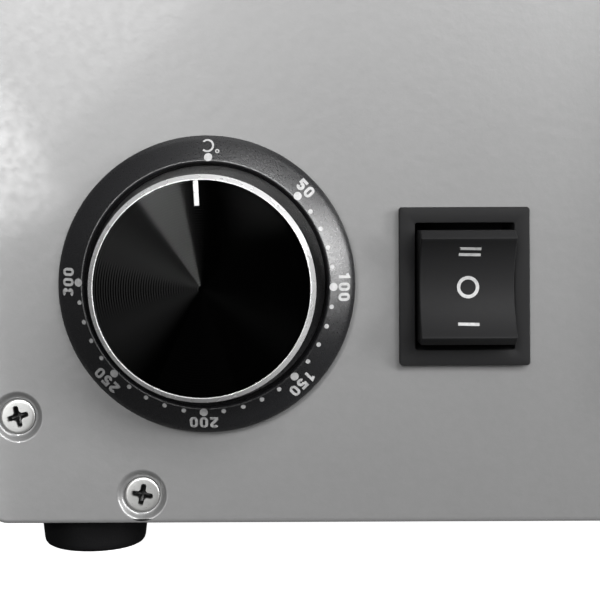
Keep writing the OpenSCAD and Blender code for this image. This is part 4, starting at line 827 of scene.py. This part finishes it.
# ---- Rocker switch: three positions, matt black mouldings ----
# The bezel lies over its cut-out and the rocker tips about a pin behind it. The rocker's face is hollowed
# from end to end with bevelled ends, and carries two bars, a ring and one bar in pale print.
switch_plastic = Finish("switch_plastic", (0.014, 0.014, 0.0145), 0.6, 0.0, Specular_IOR_Level=0.1)
switch_plastic.feed("Roughness", switch_plastic.noise(1800, 3.0) * 0.2 + 0.48)
switch_plastic.bump((switch_plastic.noise(4800, 2.0), 0.00001))
bezel_w, bezel_h, bezel_t = 25.5 * mm, 31 * mm, 2 * mm
window_w, window_h = 19.4 * mm, 24.8 * mm
window_deep = 13 * mm
case_w, case_h = 21.7 * mm, 27.6 * mm
case_back = panel_y - switch_hi.y
on_switch = out_of_panel(switch_x, switch_z)
shape = bmesh.new()
case_rings = [
    add_loop(shape, corner_rect(width, height, radius), depth) for width, height, radius, depth in (
        (window_w, window_h, 0.4 * mm, -window_deep),
        (window_w, window_h, 0.4 * mm, bezel_t - 0.25 * mm),
        (window_w + 0.16 * mm, window_h + 0.16 * mm, 0.48 * mm, bezel_t - 0.07 * mm),
        (window_w + 0.5 * mm, window_h + 0.5 * mm, 0.65 * mm, bezel_t),
        (bezel_w - 0.5 * mm, bezel_h - 0.5 * mm, 0.4 * mm, bezel_t),
        (bezel_w - 0.15 * mm, bezel_h - 0.15 * mm, 0.55 * mm, bezel_t - 0.07 * mm),
        (bezel_w, bezel_h, 0.6 * mm, bezel_t - 0.25 * mm),
        (bezel_w, bezel_h, 0.6 * mm, 0),
        (case_w, case_h, 0.5 * mm, 0),
        (case_w, case_h, 0.5 * mm, case_back),
    )
]
loft(shape, case_rings)
shape.faces.new(case_rings[0])
shape.faces.new(case_rings[-1])
add_piece("switch_housing_finished", to_mesh(shape, "switch_housing", on_switch), switch_plastic,
          "switch_housing")

rocker_w, rocker_l, rocker_h = 18.4 * mm, 22 * mm, 9 * mm
rocker_back = -8 * mm
dish = 4 * mm
dish_half = rocker_l / 2 - 1.5 * mm
dish_r = (dish_half ** 2 + dish ** 2) / (2 * dish)


def rocker_face(y):
    """Height of the hollowed face above the panel, at a distance along the rocker."""
    return rocker_h - dish + dish_r - sqrt(max(0.0, dish_r ** 2 - y ** 2))


face = [(dish_half * (1 - 2 * n / 32), rocker_face(dish_half * (1 - 2 * n / 32))) for n in range(33)]
side = [(-rocker_l / 2, rocker_h - 2 * mm), (-rocker_l / 2, 0.5 * mm), (-6 * mm, rocker_back),
        (6 * mm, rocker_back), (rocker_l / 2, 0.5 * mm), (rocker_l / 2, rocker_h - 2 * mm)]
shape = bmesh.new()
ends = [[shape.verts.new((x, y, z)) for y, z in face + side] for x in (-rocker_w / 2, rocker_w / 2)]
bridge(shape, *ends)
shape.faces.new(ends[0])
shape.faces.new(ends[1])
rocker_mesh = bevelled(to_mesh(shape, "switch_rocker", on_switch), 0.28 * mm, 3, 25)
add_piece("switch_rocker_finished", rocker_mesh, switch_plastic, "switch_rocker", crease=40)


def bar(width, height, y, steps=4):
    """Points round a bar with enough of them along its sides to follow the hollow face."""
    left = [(-width / 2, y - height / 2 + height * n / steps) for n in range(steps + 1)]
    right = [(width / 2, y + height / 2 - height * n / steps) for n in range(steps + 1)]
    return left[::-1] + right[::-1]


def on_face(x, y):
    return rocker_face(y)


mark_shift, mark_slant = 0.2 * mm, -1.2
nought_r, nought_hole_r = 2.15 * mm, 1.5 * mm
shape = bmesh.new()
for width, height, y in ((4.2, 0.55, 7.47), (4.2, 0.55, 6.32), (4.1, 0.58, -7.0)):
    printed(shape, bar(width * mm, height * mm, y * mm), on_face)
printed(shape, circle(nought_r), on_face, [circle(nought_hole_r)])
marks_place = (on_switch @ Matrix.Translation((mark_shift, 0, 0))
               @ Matrix.Rotation(radians(mark_slant), 4, "Z"))
add_piece("switch_rocker_marks", to_mesh(shape, "rocker_marks", marks_place), print_grey, "switch_rocker",
          crease=60)

# ---- Chamber: stainless box, polished reflector and ceramic fibre ----
# The box is folded from annealed stainless sheet that goes straw-brown above the heaters. A polished
# reflector lies under the lower tubes, and cut blanket of ceramic fibre is packed round the outside.


def brushed(name, colour, roughness, stretch, scale=900):
    """A metal with fine grain drawn out along the axis that stretch makes short."""
    finish = Finish(name, colour, roughness, 1.0)
    grain = finish.noise(scale, 3.0, stretch)
    finish.feed("Roughness", grain * 0.22 + (roughness - 0.1))
    finish.bump((grain, 0.00002))
    return finish


stainless = brushed("stainless_sheet", (0.56, 0.55, 0.53), 0.34, (0.03, 1, 1))
stainless.feed("Base Color", stainless.ramp(
    stainless.noise(14, 4.0), (0.35, (0.58, 0.57, 0.55)), (0.7, (0.5, 0.43, 0.33))))
for node in ("chamber_box", "drawer_rails", "bulb_clips", "baffle"):
    refine(node, stainless, 0.15 * mm)

polished = Finish("polished_sheet", (0.8, 0.79, 0.77), 0.12, 1.0)
polished.feed("Roughness", polished.noise(45, 4.0) * 0.2 + 0.04)
polished.bump((polished.noise(28, 2.0), 0.0004))
refine("reflector", polished)

wool = Finish("ceramic_fibre", (0.82, 0.81, 0.78), 0.95, Sheen_Weight=0.25)
strands = wool.noise(900, 5.0, (0.25, 1, 1), 0.7)
wool.feed("Base Color", wool.ramp(strands, (0.3, (0.66, 0.65, 0.61)), (0.65, (0.86, 0.85, 0.82))))
wool.bump((strands, 0.0006), (wool.noise(90, 3.0), 0.0012))
wool_edge = 12 * mm


def packed_wool(node):
    """A fibre block with its faces pressed in unevenly by up to a millimetre."""
    shape = bmesh.new()
    shape.from_mesh(merged(node))
    bmesh.ops.triangulate(shape, faces=shape.faces)
    for _ in range(7):
        long_edges = [edge for edge in shape.edges if edge.calc_length() > wool_edge]
        if not long_edges:
            break
        bmesh.ops.subdivide_edges(shape, edges=long_edges, cuts=1)
        bmesh.ops.triangulate(shape, faces=[face for face in shape.faces if len(face.verts) > 3])
    shape.normal_update()
    press = [vert.normal * (0.65 + 0.35 * noise.noise(vert.co * 60)) * mm for vert in shape.verts]
    for vert, way in zip(shape.verts, press):
        vert.co -= way
    mesh = bpy.data.meshes.new(node)
    shape.to_mesh(mesh)
    shape.free()
    add_piece(node + "_finished", mesh, wool, node, crease=75)


for node in ("wool_top", "wool_bottom", "wool_sides", "wool_rear"):
    packed_wool(node)

# ---- Heaters: quartz tubes, resistance coils, steatite caps and bus wires ----
# Seven clear fused-quartz tubes cross the chamber. Each holds an open coil of oxidised resistance wire
# between two glazed caps, and bare wires join the coils' pins on each side.
quartz = Finish("fused_quartz", (0.96, 0.97, 0.98), 0.04, Transmission_Weight=1.0, IOR=1.46)
quartz.feed("Roughness", quartz.noise(260, 3.0, (0.1, 1, 1)) * 0.06 + 0.02)
quartz.bump((quartz.noise(120, 2.0, (0.1, 1, 1)), 0.00004))
refine("quartz_tubes", quartz)

coil_wire = Finish("oxidised_wire", (0.24, 0.21, 0.19), 0.55, 0.8)
coil_wire.feed("Base Color", coil_wire.ramp(
    coil_wire.noise(300, 3.0), (0.3, (0.14, 0.13, 0.13)), (0.7, (0.33, 0.27, 0.22))))


def tube_along(shape, points, radius, steps=8):
    """A closed tube of one radius along points."""
    rings = []
    side = None
    for n, point in enumerate(points):
        way = (Vector(points[min(n + 1, len(points) - 1)]) - Vector(points[max(n - 1, 0)])).normalized()
        side = way.orthogonal() if side is None else side
        side = (side - way * side.dot(way)).normalized()
        up = way.cross(side)
        rings.append([
            shape.verts.new(Vector(point) + (side * cos(turn) + up * sin(turn)) * radius)
            for turn in (2 * pi * k / steps for k in range(steps))
        ])
    loft(shape, rings)
    shape.faces.new(rings[0])
    shape.faces.new(rings[-1])


pins_lo, pins_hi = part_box("heater_coils")
half_pins = (pins_hi.x - pins_lo.x) / 2
half_coil = (tube_hi.x - tube_lo.x) / 2 - 6 * mm
helix_r, heating_wire_r, helix_pitch, pin_r = 2.3 * mm, 0.42 * mm, 2.4 * mm, 0.95 * mm
facets = 10
helix_n = int(2 * half_coil / helix_pitch) * facets
shape = bmesh.new()
tube_along(shape, [
    (-half_coil + 2 * half_coil * n / helix_n,
     helix_r * cos(2 * pi * n / facets), helix_r * sin(2 * pi * n / facets))
    for n in range(helix_n + 1)
], heating_wire_r, 5)
for sign in (-1, 1):
    tube_along(shape, [(sign * half_pins, 0, 0), (sign * (half_coil + 1.2 * mm), 0, 0)], pin_r, 12)
    tube_along(shape, [
        (sign * (half_coil + 1.6 * mm), 0, 0), (sign * (half_coil + 1.2 * mm), helix_r / 2, 0),
        (sign * half_coil, helix_r, 0),
    ], heating_wire_r, 6)
heater_rows = [Matrix.Translation((lo + hi) / 2) for lo, hi in loose_boxes("quartz_tubes")]
instances("heater_coils_finished", to_mesh(shape, "coil"), heater_rows, coil_wire, "heater_coils",
          crease=50)

steatite = Finish("glazed_steatite", (0.8, 0.77, 0.7), 0.25)
steatite.shader.inputs["Coat Weight"].default_value = 0.4
steatite.feed("Base Color", steatite.ramp(
    steatite.noise(700, 4.0), (0.35, (0.72, 0.69, 0.61)), (0.6, (0.83, 0.8, 0.73))))
steatite.bump((steatite.noise(350, 3.0), 0.00006))
refine("ceramic_caps", steatite, 0.35 * mm)

steel = Finish("bright_steel", (0.6, 0.59, 0.57), 0.3, 1.0)
steel.feed("Roughness", steel.noise(1800, 3.0) * 0.25 + 0.2)
steel.bump((steel.noise(1400, 2.0), 0.00001))
refine("heater_bus_wires", steel)

copper = Finish("drawn_copper", (0.72, 0.38, 0.24), 0.3, 1.0)
copper.feed("Base Color", copper.ramp(
    copper.noise(180, 4.0), (0.3, (0.5, 0.25, 0.15)), (0.6, (0.76, 0.42, 0.28))))
copper.feed("Roughness", copper.noise(900, 2.0) * 0.25 + 0.2)
refine("sensor_bulb", copper)

# ---- Convection fan: stainless wheel, laminated motor and bronze bearings ----
# A wheel of flat blades turns behind the perforated baffle. Its shaft runs through the rear wool to a
# shaded-pole motor with a varnished stack of laminations and a taped copper winding.
refine("impeller", stainless, 0.12 * mm)

stack = Finish("varnished_laminations", (0.2, 0.21, 0.24), 0.42, 0.6)
sheets = stack.node("ShaderNodeTexWave", {"wave_type": "BANDS", "bands_direction": "Y"},
                    {"Vector": stack.place(), "Scale": 620.0, "Distortion": 0.4, "Detail": 1.0})
stack.feed("Base Color", stack.mix(sheets, (0.1, 0.11, 0.13, 1), (0.26, 0.27, 0.31, 1)))
stack.bump((sheets, 0.00008))
refine("fan_motor_stator", stack, 0.2 * mm)

winding = Finish("taped_winding", (0.42, 0.16, 0.07), 0.45)
wraps = winding.node("ShaderNodeTexWave", {"wave_type": "BANDS", "bands_direction": "Z"},
                     {"Vector": winding.place(), "Scale": 420.0, "Distortion": 0.8, "Detail": 2.0})
winding.feed("Base Color", winding.mix(wraps, (0.22, 0.08, 0.03, 1), (0.52, 0.22, 0.1, 1)))
winding.bump((wraps, 0.00012))
refine("motor_coil", winding, 0.8 * mm)

bronze = Finish("sintered_bronze", (0.55, 0.38, 0.18), 0.45, 1.0)
bronze.feed("Base Color", bronze.ramp(
    bronze.noise(1500, 3.0), (0.35, (0.38, 0.25, 0.11)), (0.6, (0.6, 0.43, 0.22))))
refine("motor_bearings", bronze, 0.2 * mm)
refine("motor_standoffs", screw_steel, 0.15 * mm)
refine("motor_shaft", steel, 0.2 * mm)

# ---- Cooling fan and its guard: moulded frame and rotor, chromed wire ----
# An axial fan blows through the bay behind the controls. Its frame and rotor are glass-filled moulding
# with a dull sheen, and the guard is bent wire with a bright plating.
moulding = Finish("fan_moulding", (0.02, 0.02, 0.022), 0.4)
moulding.feed("Roughness", moulding.noise(1200, 3.0) * 0.2 + 0.3)
moulding.bump((moulding.noise(3200, 2.0), 0.00003))
refine("cooling_fan_frame", moulding, 0.4 * mm)
refine("cooling_fan_rotor", moulding, 0.25 * mm)
chrome = Finish("plated_wire", (0.78, 0.78, 0.78), 0.16, 1.0)
chrome.feed("Roughness", chrome.noise(700, 3.0) * 0.16 + 0.1)
refine("cooling_fan_guard", chrome)
refine("cooling_fan_screws", screw_steel, 0.1 * mm)

# ---- Mains inlet and the rear and bottom screws ----
# The inlet is a moulded socket with three bright steel pins behind a screwed flange. Pan-head screws
# with cross recesses hold it, the rear panel and the feet.
refine("mains_inlet", moulding, 0.3 * mm)
refine("inlet_pins", steel, 0.3 * mm)
for node in ("inlet_screws", "rear_screws", "bottom_screws", "dial_screws"):
    refine(node, screw_steel, 0.12 * mm)

# ---- Electrics: terminal block, wires, thermostat and tabs ----
# Sleeved wires join the inlet, switch, thermostat and heaters at a steatite block on the pan. The
# thermostat has a steel yoke and spindle, a ceramic body and tinned tabs.
refine("terminal_block", steatite, 0.4 * mm)
refine("thermostat", steatite, 0.3 * mm)
refine("thermostat_shaft", steel, 0.15 * mm)
refine("switch_terminals", steel, 0.1 * mm)
sleeve = Finish("silicone_sleeve", (0.5, 0.06, 0.05), 0.5)
braid = sleeve.noise(2400, 3.0)
sleeve.feed("Base Color", sleeve.mix(braid, (0.34, 0.035, 0.03, 1), (0.56, 0.085, 0.07, 1)))
sleeve.bump((braid, 0.00005))
refine("wiring_loom", sleeve)

# ---- Drawer: painted front, stainless liner, two panes and a fibre core ----
# The front is a folded tray in the cabinet's paint. It closes on a silicone seal, and a moulded frame
# holds the outer pane of tinted glass, with a second pane on the liner behind it.
refine("drawer_front", paint, 0.5 * mm)
refine("drawer_liner", stainless, 0.15 * mm)
glass = Finish("tinted_glass", (0.3, 0.32, 0.31), 0.03, Transmission_Weight=0.9, IOR=1.5)
glass.feed("Roughness", glass.noise(60, 3.0) * 0.04 + 0.01)
glass.bump((glass.noise(9, 1.0), 0.00003))
refine("drawer_glass", glass, 0.3 * mm)
frame_plastic = Finish("frame_moulding", (0.02, 0.02, 0.021), 0.35)
frame_plastic.feed("Roughness", frame_plastic.noise(1500, 3.0) * 0.2 + 0.26)
frame_plastic.bump((frame_plastic.noise(2600, 2.0), 0.00003))
refine("window_frame", frame_plastic, 0.35 * mm)
packed_wool("drawer_wool")
silicone = Finish("silicone_seal", (0.05, 0.05, 0.052), 0.55)
silicone.feed("Roughness", silicone.noise(800, 3.0) * 0.2 + 0.45)
silicone.bump((silicone.noise(1600, 2.0), 0.00004))
refine("drawer_seal", silicone, 0.6 * mm)

# ---- Handle, arms and rack: stainless bar, strip and wire ----
# A brushed bar on two posts is held from inside the front. Two flanged arms slide in the chamber's rails,
# and a rack of welded wire lies on their ledges.
handle_steel = brushed("brushed_bar", (0.62, 0.61, 0.6), 0.28, (0.02, 1, 1), 2200)
refine("drawer_handle", handle_steel, 0.6 * mm)
refine("handle_screws", screw_steel, 0.12 * mm)
refine("rack_arms", stainless, 0.2 * mm)
refine("board_rack", steel)
